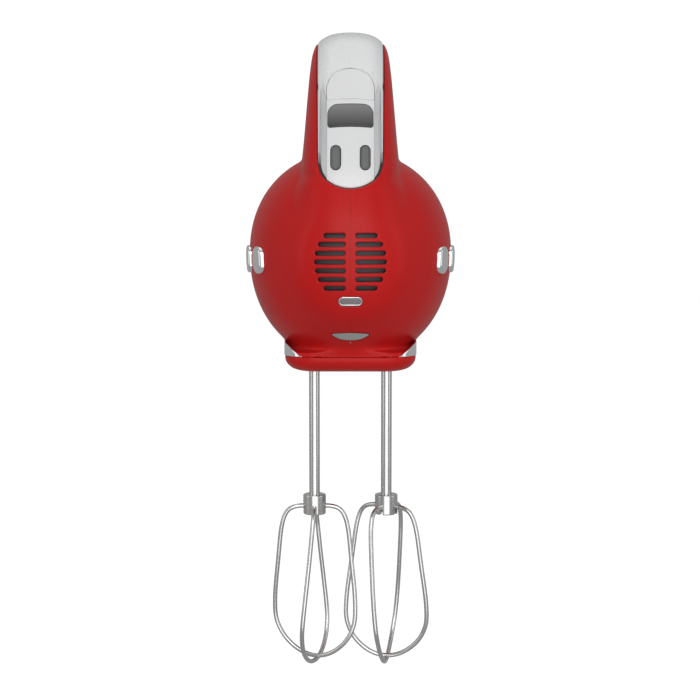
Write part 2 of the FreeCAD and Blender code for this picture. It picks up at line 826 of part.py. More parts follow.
def build_spindles():
    """Hollow spindle with a helical gear for each beater."""
    lead_slope = worm_lead() / (2 * math.pi * worm_pitch_radius())
    pitch_radius = dim("gear_teeth") * dim("gear_module") / 2
    half_face = dim("gear_face") / 2
    twist = lead_slope * half_face / pitch_radius
    tooth_angle = 2 * math.pi / dim("gear_teeth")
    for name, side in SIDES:
        rest_turn = tooth_angle / 2
        gear = twisted_gear(rest_turn, twist, dim("motor_z") - half_face, dim("motor_z") + half_face)
        tube = Part.makeCylinder(
            dim("spindle_radius"), dim("spindle_top_z") - dim("spindle_low_z"),
            Vector(0, 0, dim("spindle_low_z")))
        bore = Part.makeCylinder(stem_radius + dim("stem_clearance"), 80, Vector(0, 0, -5))
        hub = Part.makeCylinder(7.0, 12.0, Vector(0, 0, dim("motor_z") - 6.0))
        solid = gear.fuse([tube, hub]).cut(bore)
        shape_piece(f"spindle_{name}", largest(solid), Placement(Vector(side * spindle_x, 0, 0), Rotation()))


# ---------------------------------------------------------------- motor

def build_armature():
    """Shaft with worm, laminated core, windings, commutator and fan."""
    shaft_radius = dim("motor_shaft_radius")
    shaft = Part.makeCylinder(shaft_radius, 134, Vector(0, -22, 0), Y_AXIS)
    root_radius = worm_pitch_radius() - 1.1 * dim("gear_module")
    core_length = dim("worm_length") + 2
    core = Part.makeCylinder(root_radius, core_length, Vector(0, -core_length / 2, 0), Y_AXIS)
    thread = worm_thread(root_radius)
    worm = core.fuse(thread)
    solid = largest(shaft.fuse(worm))
    shape_piece("armature_shaft", solid, Placement(Vector(0, 0, dim("motor_z")), Rotation()))

    front = dim("stator_front_y") + 1
    length = dim("stator_length") - 2
    slots = 10
    body = doc.addObject("PartDesign::Body", "armature_core")
    disc = sketch_in(body, "armature_core_disc")
    sketch_circle(disc, "dims.armature_radius")
    sketch_circle(disc, "dims.motor_shaft_radius")
    pad(body, disc, "dims.stator_length - 2", "armature_core_stack")
    slot = sketch_in(body, "armature_core_slot")
    sketch_polygon(slot, [
        (8.0, -1.4), (13.0, -1.4), (13.0, -0.6), (15.0, -0.6),
        (15.0, 0.6), (13.0, 0.6), (13.0, 1.4), (8.0, 1.4),
    ])
    cut = pocket_through(body, slot, "armature_core_cut")
    pattern = body.newObject("PartDesign::PolarPattern", "armature_core_slots")
    pattern.Originals = [cut]
    pattern.Axis = (disc, ["N_Axis"])
    pattern.Angle = 360
    pattern.Occurrences = slots
    body.Tip = pattern
    body.Placement = Placement(Vector(0, front, dim("motor_z")), ALONG_Y)
    keep(body, "armature_core")

    wound = []
    for low, high in ((front - 5.0, front), (front + length, front + length + 5.0)):
        ring = Part.makeCylinder(11.5, high - low, Vector(0, low, dim("motor_z")), Y_AXIS)
        ring = ring.cut(Part.makeCylinder(shaft_radius, 200, Vector(0, -50, dim("motor_z")), Y_AXIS))
        edges = [e for e in ring.Edges if abs(e.Length - 2 * math.pi * 11.5) < 0.01]
        wound.append(ring.makeFillet(1.8, edges[:2]))
    bar = Part.makeCylinder(1.25, length, Vector(10.0, front, dim("motor_z")), Y_AXIS)
    for index in range(slots):
        rod = bar.copy()
        rod.rotate(Vector(0, 0, dim("motor_z")), Y_AXIS, index * 360.0 / slots)
        wound.append(rod)
    shape_piece("armature_windings", largest(wound[0].fuse(wound[1:])))

    ring_place = Placement(Vector(0, front + length + 7.0, dim("motor_z")), ALONG_Y)
    tube_piece("commutator", "dims.commutator_radius", "dims.motor_shaft_radius", "9", ring_place)

    hub = Part.makeCylinder(6.5, 8, Vector(0, 0, 0), Y_AXIS)
    disc = Part.makeCylinder(dim("fan_radius"), 1.4, Vector(0, 0, 0), Y_AXIS)
    blades = []
    for index in range(11):
        blade = box_between((5.5, 1.0, -0.6), (dim("fan_radius") - 0.5, 8, 0.6))
        blade.rotate(Vector(5.5, 0, 0), Y_AXIS, 24)
        blade.rotate(Vector(0, 0, 0), Y_AXIS, index * 360.0 / 11)
        blades.append(blade)
    fan = hub.fuse([disc] + blades)
    fan = fan.common(Part.makeCylinder(dim("fan_radius"), 20, Vector(0, -2, 0), Y_AXIS))
    fan = fan.cut(Part.makeCylinder(shaft_radius, 40, Vector(0, -10, 0), Y_AXIS))
    shape_piece("cooling_fan", largest(fan), Placement(Vector(0, dim("fan_y"), dim("motor_z")), Rotation()))


def worm_thread(root_radius):
    """Right-handed thread about the Y axis, one sweep for each start."""
    module = dim("gear_module")
    lead = worm_lead()
    length = dim("worm_length")
    tip = worm_pitch_radius() + 0.8 * module
    base = root_radius - 0.25
    half_base = 0.96 * module
    half_tip = 0.30 * module
    starts = int(dim("worm_starts"))
    threads = []
    for index in range(starts):
        helix = Part.makeLongHelix(lead, length, root_radius)
        profile = Part.makePolygon([
            Vector(base, 0, -half_base), Vector(tip, 0, -half_tip), Vector(tip, 0, half_tip),
            Vector(base, 0, half_base), Vector(base, 0, -half_base),
        ])
        sweep = Part.Wire(helix.Edges).makePipeShell([profile], True, True)
        sweep.rotate(Vector(0, 0, 0), Z_AXIS, 360.0 * index / starts)
        sweep.translate(Vector(0, 0, -length / 2))
        # The helix starts on +X; turning it so puts a thread crest on -X at mid length.
        sweep.rotate(Vector(0, 0, 0), Z_AXIS, 180.0 - 360.0 * (length / 2) / lead)
        sweep.rotate(Vector(0, 0, 0), X_AXIS, -90)
        threads.append(sweep)
    return threads


def octagon(half_width, half_height):
    """Corners of a block's outline with wide 45 degree chamfers."""
    flat = half_width - 12
    side = half_height - 12
    quarter = [(half_width, side), (flat, half_height)]
    right = [(x, -y) for x, y in quarter[::-1]] + quarter
    return right + [(-x, -y) for x, y in right]


def brush_block(low_x, high_x, y, half_y, half_z):
    middle = dim("motor_z")
    return box_between((low_x, y - half_y, middle - half_z), (high_x, y + half_y, middle + half_z))


def build_motor():
    """Stator stack, field coils, brackets, bearings, brushes and holders."""
    body = doc.addObject("PartDesign::Body", "motor_stator")
    plan = sketch_in(body, "motor_stator_plan")
    sketch_polygon(plan, octagon(dim("stator_half_width"), dim("stator_half_height")))
    sketch_circle(plan, "dims.armature_radius + dims.air_gap")
    pad(body, plan, "dims.stator_length", "motor_stator_stack")
    slots = sketch_in(body, "motor_stator_slots")
    for sign in (-1, 1):
        sketch_polygon(slots, [(-11, 14.9 * sign), (11, 14.9 * sign), (11, 20 * sign), (-11, 20 * sign)])
    pocket_through(body, slots, "motor_stator_windows")
    body.Placement = Placement(Vector(0, dim("stator_front_y"), dim("motor_z")), ALONG_Y)
    keep(body, "motor_stator")

    coils = []
    for sign in (-1, 1):
        middle = dim("motor_z") + sign * 17.45
        coil = box_between(
            (-10.7, dim("stator_front_y") - 5.5, middle - 2.3),
            (10.7, dim("stator_front_y") + dim("stator_length") + 5.5, middle + 2.3))
        edges = [e for e in coil.Edges if abs(e.tangentAt(e.FirstParameter).y) > 0.99]
        coils.append(coil.makeFillet(1.6, edges))
    shape_piece("field_coils", Part.Compound(coils))

    bracket_ys = (dim("bracket_front_y"), dim("bracket_rear_y"))
    for name, y in zip(("front", "rear"), bracket_ys):
        bracket = doc.addObject("PartDesign::Body", f"motor_bracket_{name}")
        plate = sketch_in(bracket, f"motor_bracket_{name}_plan")
        sketch_polygon(plate, octagon(dim("stator_half_width") - 1, dim("stator_half_height") - 2))
        sketch_circle(plate, "dims.bush_radius")
        pad(bracket, plate, "dims.bracket_thickness", f"motor_bracket_{name}_plate")
        bracket.Placement = Placement(Vector(0, y, dim("motor_z")), ALONG_Y)
        keep(bracket, f"motor_bracket_{name}")
    bearing_places = [Placement(Vector(0, y, dim("motor_z")), ALONG_Y) for y in bracket_ys]
    bearing_bore = "dims.motor_shaft_radius + dims.bush_clearance"
    tube_pair("motor_bearings", "dims.bush_radius", bearing_bore, "dims.bracket_thickness", bearing_places)

    brush_y = dim("stator_front_y") + dim("stator_length") + 10.5
    sleeves = []
    brushes = []
    for sign in (-1, 1):
        low, high = sorted((sign * 10.5, sign * 21.0))
        sleeve = brush_block(low, high, brush_y, 4.5, 4.0)
        sleeves.append(sleeve.cut(brush_block(low - 1, high + 1, brush_y, 3.0, 2.5)))
        low, high = sorted((sign * (dim("commutator_radius") + 0.1), sign * 18.0))
        brushes.append(brush_block(low, high, brush_y, 2.95, 2.45))
    shape_piece("brush_holders", Part.Compound(sleeves))
    shape_piece("carbon_brushes", Part.Compound(brushes))


# ---------------------------------------------------------------- ejector

def contact_rotation():
    """Slope on which pad and rod slide so that both move by the same amount."""
    inward = pad_rotation().multVec(Y_AXIS)
    slope = inward + Z_AXIS
    return Rotation(X_AXIS, math.degrees(math.atan2(slope.z, slope.y)))


def build_ejector():
    """Eject pad with its foot, rod, yoke over both spindles, return spring and two pins."""
    pad_skin = handle_solid(dim("pad_sunk")).cut(handle_solid(3.2))
    plate = largest(pad_prism(0.0, -12, 12).common(pad_skin))
    foot = placed_on_pad(box_between((-3, 1.6, -2), (3, 19, 4)))
    contact = Placement(Vector(0, dim("rod_y"), 119.0), contact_rotation())
    above = box_between((-40, -60, 0.15), (40, 60, 60))
    above.Placement = contact
    shape_piece("eject_pad", largest(plate.fuse(foot.common(above))))

    half_rod = dim("rod_width") / 2
    rod_low = dim("yoke_z") + dim("yoke_thickness")
    below = box_between((-40, -60, -80), (40, 60, -0.15))
    below.Placement = contact
    rod = box_between(
        (-half_rod, dim("rod_y") - half_rod, rod_low), (half_rod, dim("rod_y") + half_rod, 140))
    shape_piece("ejector_rod", largest(rod.common(below)))

    yoke = doc.addObject("PartDesign::Body", "ejector_yoke")
    plan = sketch_in(yoke, "ejector_yoke_plan")
    reach = spindle_x + 4
    back_y = dim("rod_y") - 4.5
    sketch_polygon(plan, [(-4.5, back_y), (4.5, back_y), (4.5, -4.5), (reach, -4.5), (reach, 4.5),
                          (-reach, 4.5), (-reach, -4.5), (-4.5, -4.5)])
    pad(yoke, plan, "dims.yoke_thickness", "ejector_yoke_plate")
    yoke.Placement = Placement(Vector(0, 0, dim("yoke_z")), Rotation())
    keep(yoke, "ejector_yoke")

    head_z = dim("pin_head_z")
    pin_low = dim("stem_top_z") + 0.2
    head_top = head_z + dim("pin_head_height")
    for name, side in SIDES:
        profile = [(0, pin_low), (stem_radius, pin_low), (stem_radius, head_z), (4.2, head_z),
                   (4.2, head_top), (0, head_top)]
        turned_piece(f"ejector_pin_{name}", profile, Placement(Vector(side * spindle_x, 0, 0), Rotation()))

    spring_low = dim("spring_low_z")
    coil_radius = dim("spring_radius")
    wire = dim("spring_wire")
    rise = dim("yoke_z") - spring_low - 2 * wire - 0.06
    helix = Part.makeLongHelix(rise / 3.0, rise, coil_radius)
    start = Part.Wire(Part.makeCircle(wire, Vector(coil_radius, 0, 0), Y_AXIS))
    spring = Part.Wire(helix.Edges).makePipeShell([start], True, True)
    shape_piece("ejector_spring", spring, Placement(
        Vector(0, dim("rod_y"), spring_low + wire + 0.03), Rotation()))


# ---------------------------------------------------------------- controls

def build_controls():
    """Display module, control board with switches, and the interference capacitor."""
    lean = Rotation(X_AXIS, -dim("board_tilt"))
    start = Vector(-12, dim("board_y"), dim("board_z"))
    keep(box_object("control_board", "24", "1.6", "34", Placement(start, lean)), "control_board")
    normal = lean.multVec(Vector(0, -1, 0))
    up = lean.multVec(Z_AXIS)

    module_corner = start + up * 24 + normal * 3.2 + Vector(3, 0, 0)
    keep(box_object("display_module", "18", "3.1", "7", Placement(module_corner, lean)), "display_module")

    switches = []
    for sign in (-1, 1):
        switch = box_between((-2, 0, 0), (2, 1.7, 4))
        switch.Placement = Placement(
            start + Vector(12 + sign * dim("button_x"), 0, 0) + up * 5.0 + normal * 1.75, lean)
        switches.append(switch)
    shape_piece("button_switches", Part.Compound(switches))

    capacitor_place = Placement(Vector(-9, 62, 70), Rotation())
    keep(box_object("capacitor", "18", "22", "9", capacitor_place), "capacitor")


# ---------------------------------------------------------------- rear

def build_rear():
    """Heel plate, rubber pad, cord inlet bush and the housing screws."""
    plate = doc.addObject("PartDesign::Body", "heel_plate")
    plan = sketch_in(plate, "heel_plate_plan", "XZ_Plane")
    sketch_polygon(plan, [
        (-27, 34), (-20, 26), (20, 26), (27, 34), (27, 72), (20, 80), (-20, 80), (-27, 72),
    ])
    pad(plate, plan, "dims.heel_plate_thickness", "heel_plate_pad", reverse=True)
    plate.Placement = Placement(Vector(0, dim("heel_y"), 0), Rotation())
    keep(plate, "heel_plate")

    face = rounded_rectangle(23, 23, 8, "XZ")
    face.translate(Vector(0, dim("heel_y") + dim("heel_plate_thickness"), 53))
    shape_piece("heel_pad", face.extrude(Vector(0, dim("heel_pad_thickness"), 0)))

    tube_piece(
        "cord_inlet_bush", "dims.inlet_radius", "dims.inlet_bore_radius", "dims.inlet_length", inlet_place)

    screws = []
    for y, z in SCREW_PLACES:
        shank = screw_post(y, z, -13.5, 10.2, 1.5)
        head = screw_post(y, z, 10.0, 12.0, 2.9)
        screws.append(shank.fuse(head).removeSplitter())
    shape_piece("housing_screws", Part.Compound(screws))


# ---------------------------------------------------------------- beaters

def loop_outline():
    """Radius and height along one wire, from the ferrule down to the tip."""
    exit_z = dim("wire_exit_z")
    tip_z = dim("loop_tip_z")
    widest = dim("loop_radius")
    return [
        (4.0, exit_z), (9.3, exit_z - 0.2), (12.6, exit_z - 1.8), (14.7, exit_z - 5.0),
        (15.9, exit_z - 9.0), (17.2, exit_z - 18.0), (18.5, exit_z - 30.0),
        (0.975 * widest, exit_z - 42.0), (widest, exit_z - 51.0), (0.975 * widest, exit_z - 57.5),
        (0.905 * widest, exit_z - 61.6), (0.79 * widest, exit_z - 65.6), (0.60 * widest, exit_z - 69.6),
        (0.36 * widest, tip_z + 1.6), (0.13 * widest, tip_z + 0.2),
    ]


def loop_wire(turn, twist_sign, drop):
    """One closed-ended loop: down one side, across the axis and up the other side."""
    exit_z = dim("wire_exit_z")
    tip_z = dim("loop_tip_z")
    points = []
    for way in (0, 180):
        branch = []
        for radius, z in loop_outline():
            lower = drop * max(0.0, (exit_z - 30.0 - z) / (exit_z - 30.0 - tip_z))
            angle = math.radians(turn + way + twist_sign * dim("twist_per_mm") * (exit_z - z))
            branch.append(Vector(radius * math.cos(angle), radius * math.sin(angle), z - lower))
        points.append(branch)
    path = points[0] + [Vector(0, 0, tip_z - drop)] + points[1][::-1]
    curve = Part.BSplineCurve()
    curve.interpolate(path)
    tangent = curve.tangent(curve.FirstParameter)[0]
    circle = Part.Wire(Part.makeCircle(wire_radius, path[0], tangent))
    return Part.Wire(curve.toShape()).makePipeShell([circle], True, True)


def build_beater(name, side, turn, twist_sign):
    """Stem, ferrule and two crossed wire loops."""
    place = Placement(Vector(side * spindle_x, 0, 0), Rotation())
    low = dim("ferrule_low_z")
    top = dim("stem_top_z")
    exit_z = dim("wire_exit_z")
    channel = wire_radius + 0.05
    neck = stem_radius - 0.45
    end = exit_z + channel + 0.3
    profile = [
        (0, end), (stem_radius, end), (stem_radius, 11.0), (neck, 11.6), (neck, 13.2),
        (stem_radius, 13.8), (stem_radius, top - 1.4), (stem_radius - 1.2, top), (0, top),
    ]
    turned_piece(f"beater_stem_{name}", profile, place)

    notches = []
    for step in range(4):
        tool = Part.makeCylinder(channel, 12, Vector(0, 0, exit_z), X_AXIS)
        tool = tool.fuse(box_between((0, -channel, low - 5), (12, channel, exit_z)))
        tool.rotate(Vector(0, 0, 0), Z_AXIS, turn + 90.0 * step)
        notches.append(tool)
    radius = dim("ferrule_diameter") / 2
    ferrule = Part.makeCylinder(radius, dim("ferrule_top_z") - low, Vector(0, 0, low))
    rims = [e for e in ferrule.Edges if abs(e.Length - 2 * math.pi * radius) < 0.01]
    ferrule = ferrule.makeFillet(0.6, rims)
    ferrule = ferrule.cut(Part.makeCylinder(stem_radius, 40, Vector(0, 0, low - 5)))
    for tool in notches:
        ferrule = ferrule.cut(tool)
    seam = box_between((stem_radius - 0.5, -0.25, exit_z + 2.0), (radius + 1, 0.25, dim("ferrule_top_z") + 1))
    seam.rotate(Vector(0, 0, 0), Z_AXIS, -33.0 if side == LEFT else 58.0)
    ferrule = ferrule.cut(seam)
    shape_piece(f"beater_ferrule_{name}", largest(ferrule), place)

    shape_piece(f"beater_loop_wide_{name}", loop_wire(turn, twist_sign, 0.0), place)
    shape_piece(f"beater_loop_cross_{name}", loop_wire(turn + 90, twist_sign, 2.35), place)


build_housing()
build_nose_trim()
build_side_studs()
build_panel_parts()
build_foot()
build_gearbox()
build_spindles()
build_armature()
build_motor()
build_ejector()
build_controls()
build_rear()
build_beater("left", LEFT, -dim("left_turn"), -1)
build_beater("right", RIGHT, -dim("right_turn"), 1)
doc.recompute()

faults = []
for item in doc.Objects:
    if "Invalid" in item.State or "Error" in item.State:
        faults.append(f"{item.Name}: {item.State}")
for piece in pieces:
    if piece.Shape.isNull() or not piece.Shape.isValid() or not piece.Shape.Solids:
        faults.append(f"{piece.Label}: bad shape")
if faults:
    raise RuntimeError("; ".join(faults))

os.makedirs("parts", exist_ok=True)
for piece in pieces:
    piece.Shape.exportStep(f"parts/{piece.Label}.step")
    print(f"{piece.Label}: {len(piece.Shape.Solids)} solid(s), {piece.Shape.Volume:.0f} mm3")
print(f"{len(pieces)} pieces")
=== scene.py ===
import json
import math

import bpy
import numpy as np
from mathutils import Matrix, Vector


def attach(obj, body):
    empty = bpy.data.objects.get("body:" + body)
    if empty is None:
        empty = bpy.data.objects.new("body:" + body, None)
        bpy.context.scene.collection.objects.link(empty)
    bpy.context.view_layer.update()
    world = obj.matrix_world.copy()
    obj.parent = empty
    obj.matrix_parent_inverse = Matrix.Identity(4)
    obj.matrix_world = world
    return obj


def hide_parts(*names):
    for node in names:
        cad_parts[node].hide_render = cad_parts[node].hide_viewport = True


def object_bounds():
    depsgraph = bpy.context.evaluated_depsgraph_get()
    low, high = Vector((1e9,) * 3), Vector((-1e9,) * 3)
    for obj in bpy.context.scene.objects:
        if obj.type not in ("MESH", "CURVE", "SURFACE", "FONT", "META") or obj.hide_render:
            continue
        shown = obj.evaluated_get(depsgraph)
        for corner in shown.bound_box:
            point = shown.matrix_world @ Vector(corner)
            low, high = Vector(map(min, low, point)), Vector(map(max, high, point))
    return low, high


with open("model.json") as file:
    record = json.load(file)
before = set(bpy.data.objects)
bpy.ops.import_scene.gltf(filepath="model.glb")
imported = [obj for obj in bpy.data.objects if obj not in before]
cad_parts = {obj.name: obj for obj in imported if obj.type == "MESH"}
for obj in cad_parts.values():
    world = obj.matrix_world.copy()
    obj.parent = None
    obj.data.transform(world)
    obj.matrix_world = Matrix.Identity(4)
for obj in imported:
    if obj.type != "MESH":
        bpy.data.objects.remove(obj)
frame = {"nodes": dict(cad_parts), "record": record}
cad_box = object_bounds()
MM = 0.001
SETTLE_ROUNDS = 2
SEAM_GAP = 0.02

# ------------------------------------------------------------------ smooth field helpers (mm)


def smax(a, b, k):
    """Rounded maximum of two distances: what lies inside both, with a soft edge of size k."""
    h = np.clip(1.0 - np.abs(a - b) / k, 0.0, 1.0)
    return np.maximum(a, b) + h * h * k * 0.25


def smin(a, b, k):
    """Rounded minimum of two distances: both shapes joined by a soft fillet of size k."""
    return -smax(-a, -b, k)


def ramp(value, low, high):
    """Smooth step from 0 at low to 1 at high."""
    t = np.clip((value - low) / (high - low), 0.0, 1.0)
    return t * t * (3.0 - 2.0 * t)


def curve_points(knots, steps=12):
    """Catmull-Rom curve through 2D points."""
    p = np.array(knots, float)
    ends = np.vstack([2 * p[0] - p[1], p, 2 * p[-1] - p[-2]])
    out = []
    for i in range(1, len(ends) - 2):
        a, b, c, d = ends[i - 1 : i + 3]
        for t in np.arange(steps) / steps:
            square = (2 * a - 5 * b + 4 * c - d) * t * t
            cube = (3 * b - 3 * c + d - a) * t**3
            out.append(0.5 * (2 * b + (c - a) * t + square + cube))
    out.append(p[-1])
    return np.array(out)


def polygon_distance(points, u, v):
    """Signed distance to a closed polygon, negative inside."""
    best = np.full(u.shape, 1e9)
    inside = np.zeros(u.shape, bool)
    for a, b in zip(points, np.roll(points, -1, axis=0)):
        e = b - a
        length2 = e @ e
        if length2 < 1e-12:
            continue
        t = np.clip(((u - a[0]) * e[0] + (v - a[1]) * e[1]) / length2, 0.0, 1.0)
        du, dv = u - a[0] - t * e[0], v - a[1] - t * e[1]
        best = np.minimum(best, du * du + dv * dv)
        crossing = (a[1] > v) != (b[1] > v)
        if abs(e[1]) > 1e-12:
            inside ^= crossing & (u < e[0] * (v - a[1]) / e[1] + a[0])
    return np.where(inside, -1.0, 1.0) * np.sqrt(best)


class Plan:
    """A 2D distance field kept on a fine grid and read back with linear interpolation."""

    def __init__(self, points, u_range, v_range, step=0.5):
        self.origin = (u_range[0], v_range[0])
        self.step = step
        u = np.arange(u_range[0], u_range[1] + step, step)
        v = np.arange(v_range[0], v_range[1] + step, step)
        uu, vv = np.meshgrid(u, v, indexing="ij")
        self.grid = polygon_distance(points, uu, vv).astype(np.float32)

    def __call__(self, u, v):
        fu = np.clip((u - self.origin[0]) / self.step, 0, self.grid.shape[0] - 1.001)
        fv = np.clip((v - self.origin[1]) / self.step, 0, self.grid.shape[1] - 1.001)
        fu, fv = np.broadcast_arrays(fu, fv)
        iu, iv = fu.astype(np.int32), fv.astype(np.int32)
        tu, tv = (fu - iu).astype(np.float32), (fv - iv).astype(np.float32)
        g = self.grid
        low = g[iu, iv] * (1 - tu) + g[iu + 1, iv] * tu
        high = g[iu, iv + 1] * (1 - tu) + g[iu + 1, iv + 1] * tu
        return low * (1 - tv) + high * tv


def surface_net(field, low, high, step):
    """Mesh of field = 0 over a box: (vertices, quads), made on a regular grid."""
    axes = [np.arange(a - step, b + 2 * step, step, dtype=np.float32) for a, b in zip(low, high)]
    x, y, z = (axes[0][:, None, None], axes[1][None, :, None], axes[2][None, None, :])
    values = np.broadcast_to(field(x, y, z), tuple(len(a) for a in axes)).astype(np.float32)
    neg = values < 0
    shape = tuple(n - 1 for n in values.shape)
    total = np.zeros(shape, np.int8)
    for dx in (0, 1):
        for dy in (0, 1):
            for dz in (0, 1):
                total += neg[dx : dx + shape[0], dy : dy + shape[1], dz : dz + shape[2]]
    active = (total > 0) & (total < 8)
    ids = np.full(shape, -1, np.int32)
    cells = np.argwhere(active)
    ids[active] = np.arange(len(cells))
    sums = np.zeros((len(cells), 3), np.float32)
    counts = np.zeros(len(cells), np.float32)
    ci, cj, ck = cells.T
    corners = [(a, b, c) for a in (0, 1) for b in (0, 1) for c in (0, 1)]
    for p in corners:
        for axis in range(3):
            if p[axis] == 1:
                continue
            q = list(p)
            q[axis] = 1
            va = values[ci + p[0], cj + p[1], ck + p[2]]
            vb = values[ci + q[0], cj + q[1], ck + q[2]]
            hit = (va < 0) != (vb < 0)
            t = np.where(hit, va / np.where(hit, va - vb, 1.0), 0.0)
            crossing = np.array(p, np.float32)[None, :].repeat(len(cells), 0)
            crossing[:, axis] += t
            sums[hit] += crossing[hit]
            counts[hit] += 1
    corner = np.stack([axes[i][cells[:, i]] for i in range(3)], 1)
    verts = corner + sums / np.maximum(counts, 1)[:, None] * step
    quads = []
    for axis in range(3):
        b, c = [i for i in range(3) if i != axis]
        sl_lo = [slice(1, -1)] * 3
        sl_hi = [slice(1, -1)] * 3
        sl_lo[axis] = slice(0, -1)
        sl_hi[axis] = slice(1, None)
        lo, hi = neg[tuple(sl_lo)], neg[tuple(sl_hi)]
        base = [1, 1, 1]
        base[axis] = 0
        for flip, mask in ((False, lo & ~hi), (True, ~lo & hi)):
            where = np.argwhere(mask) + base
            around = []
            for db, dc in ((-1, -1), (0, -1), (0, 0), (-1, 0)):
                w = where.copy()
                w[:, b] += db
                w[:, c] += dc
                around.append(ids[w[:, 0], w[:, 1], w[:, 2]])
            quad = np.stack(around, 1)
            if flip ^ (axis == 1):
                quad = quad[:, ::-1]
            quads.append(quad)
    return verts.astype(float), np.vstack(quads)


def gradient(field, v, e=0.06):
    """Slope of a field at the points v, from central differences."""
    out = np.zeros_like(v)
    for axis in range(3):
        d = np.zeros(3)
        d[axis] = e
        a, b = v + d, v - d
        out[:, axis] = (field(a[:, 0], a[:, 1], a[:, 2]) - field(b[:, 0], b[:, 1], b[:, 2])) / (2 * e)
    return out


def mesh_object(name, verts, faces, normals):
    """Smooth mesh object from points in millimetres, quads and vertex normals."""
    mesh = bpy.data.meshes.new(name)
    mesh.vertices.add(len(verts))
    mesh.vertices.foreach_set("co", (np.asarray(verts) * MM).astype(np.float32).ravel())
    width = faces.shape[1]
    mesh.loops.add(faces.size)
    mesh.loops.foreach_set("vertex_index", faces.astype(np.int32).ravel())
    mesh.polygons.add(len(faces))
    mesh.polygons.foreach_set("loop_start", np.arange(0, faces.size, width, dtype=np.int32))
    mesh.update(calc_edges=True)
    mesh.validate()
    mesh.polygons.foreach_set("use_smooth", np.ones(len(mesh.polygons), bool))
    mesh.normals_split_custom_set_from_vertices([tuple(n) for n in normals])
    obj = bpy.data.objects.new(name, mesh)
    bpy.context.scene.collection.objects.link(obj)
    return obj


def unit(vectors):
    return vectors / np.maximum(np.linalg.norm(vectors, axis=1, keepdims=True), 1e-9)


def field_mesh(field, low, high, step):
    """Vertices, quads and normals of a field, with the vertices moved onto the surface."""
    verts, quads = surface_net(field, low, high, step)
    for _ in range(SETTLE_ROUNDS):
        g = gradient(field, verts)
        f = field(verts[:, 0], verts[:, 1], verts[:, 2])
        g2 = np.maximum((g * g).sum(1), 0.05)
        move = -(f / g2)[:, None] * g
        length = np.linalg.norm(move, axis=1, keepdims=True)
        verts = verts + move * np.minimum(1.0, 0.45 * step / np.maximum(length, 1e-9))
    return verts, quads, unit(gradient(field, verts))


def seam_mesh(field, low, high, step):
    """The half of a field on +X, left open along x = 0 with its rim moved to the seam."""
    whole_verts, quads, _ = field_mesh(field, (-1.5 * step, low[1], low[2]), high, step)
    keep = (whole_verts[quads][:, :, 0] > -0.5 * step).all(1)
    quads = quads[keep]
    used, index = np.unique(quads, return_inverse=True)
    quads = index.reshape(quads.shape)
    verts = whole_verts[used]
    near = verts[:, 0] < 0.5 * step
    verts[near, 0] = SEAM_GAP
    for _ in range(3):
        part = verts[near]
        g = gradient(field, part)
        g[:, 0] = 0.0
        f = field(part[:, 0], part[:, 1], part[:, 2])
        part = part - np.clip(f / np.maximum((g * g).sum(1), 0.2), -0.3, 0.3)[:, None] * g
        verts[near] = part
    return verts, quads, unit(gradient(field, verts))


def field_piece(name, field, low, high, step, body, nodes, material):
    """One piece made from a field inside the box low to high, in place of the named CAD nodes."""
    obj = mesh_object(name, *field_mesh(field, low, high, step))
    return place(obj, body, nodes, material)


def mirrored_pair(name, field, low, high, step, body, nodes, material):
    """The piece on +X from its field, and its mirror image on -X."""
    build = seam_mesh if low[0] == 0 else field_mesh
    verts, quads, normals = build(field, low, high, step)
    flip = np.array([-1.0, 1.0, 1.0])
    place(mesh_object(name + "_right", verts, quads, normals), body, nodes[1], material)
    left = mesh_object(name + "_left", verts * flip, quads[:, ::-1], normals * flip)
    place(left, body, nodes[0], material)


def place(obj, body, nodes, material):
    """Puts a piece on its body, with the nodes it replaces and its material."""
    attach(obj, body)
    if nodes:
        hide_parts(*nodes)
    obj.data.materials.clear()
    obj.data.materials.append(material)
    return obj


# ------------------------------------------------------------------ outer form of the body (mm)

POD_Z = 54.5
POD_HALF = 48.0
POD_ABOVE = 48.5
POD_BELOW = 52.4
NOSE = 60.2
HEEL_Y = 138.0
SOLE_Z = 7.5

side_curve = curve_points([
    (-56, 70), (-52.5, 88), (-44, 108), (-34, 127), (-21.5, 145), (-6, 157.6), (15, 162.0), (50, 162.3),
    (88, 159), (114, 150), (130, 134.5), (137, 112), (137, 80),
])
side_polygon = np.vstack([side_curve, [(137, 60), (-40, 60)]])
cheek = [(24.9, 60), (24.1, 88), (22.3, 108), (20.6, 127), (19.3, 140), (17.8, 149), (15.6, 154.2),
         (11.6, 158.4), (6.2, 160.9), (0, 161.6)]
front_polygon = curve_points(cheek + [(-x, z) for x, z in cheek[-2::-1]])
GAP = [(-5, 107.2), (9, 135.5), (100, 133.5), (111, 112), (104, 103)]


def inset_corners(corners, amount):
    """A convex outline (clockwise) moved inwards."""
    p = np.array(corners, float)
    lines = []
    centre = p.mean(0)
    for a, b in zip(p, np.roll(p, -1, axis=0)):
        n = np.array([b[1] - a[1], a[0] - b[0]])
        n /= np.linalg.norm(n)
        if n @ (centre - a) < 0:
            n = -n
        lines.append((n, n @ a + amount))
    out = []
    for (n1, c1), (n2, c2) in zip(lines[-1:] + lines[:-1], lines):
        out.append(np.linalg.solve(np.array([n1, n2]), np.array([c1, c2])))
    return np.array(out)


side_plan = Plan(side_polygon, (-75, 150), (40, 175))
front_plan = Plan(front_polygon, (-40, 40), (40, 175))
GAP_ROUND = 7.0
gap_plan = Plan(inset_corners(GAP, GAP_ROUND), (-75, 150), (40, 175))


def gap_distance(y, z):
    return gap_plan(y, z) - GAP_ROUND


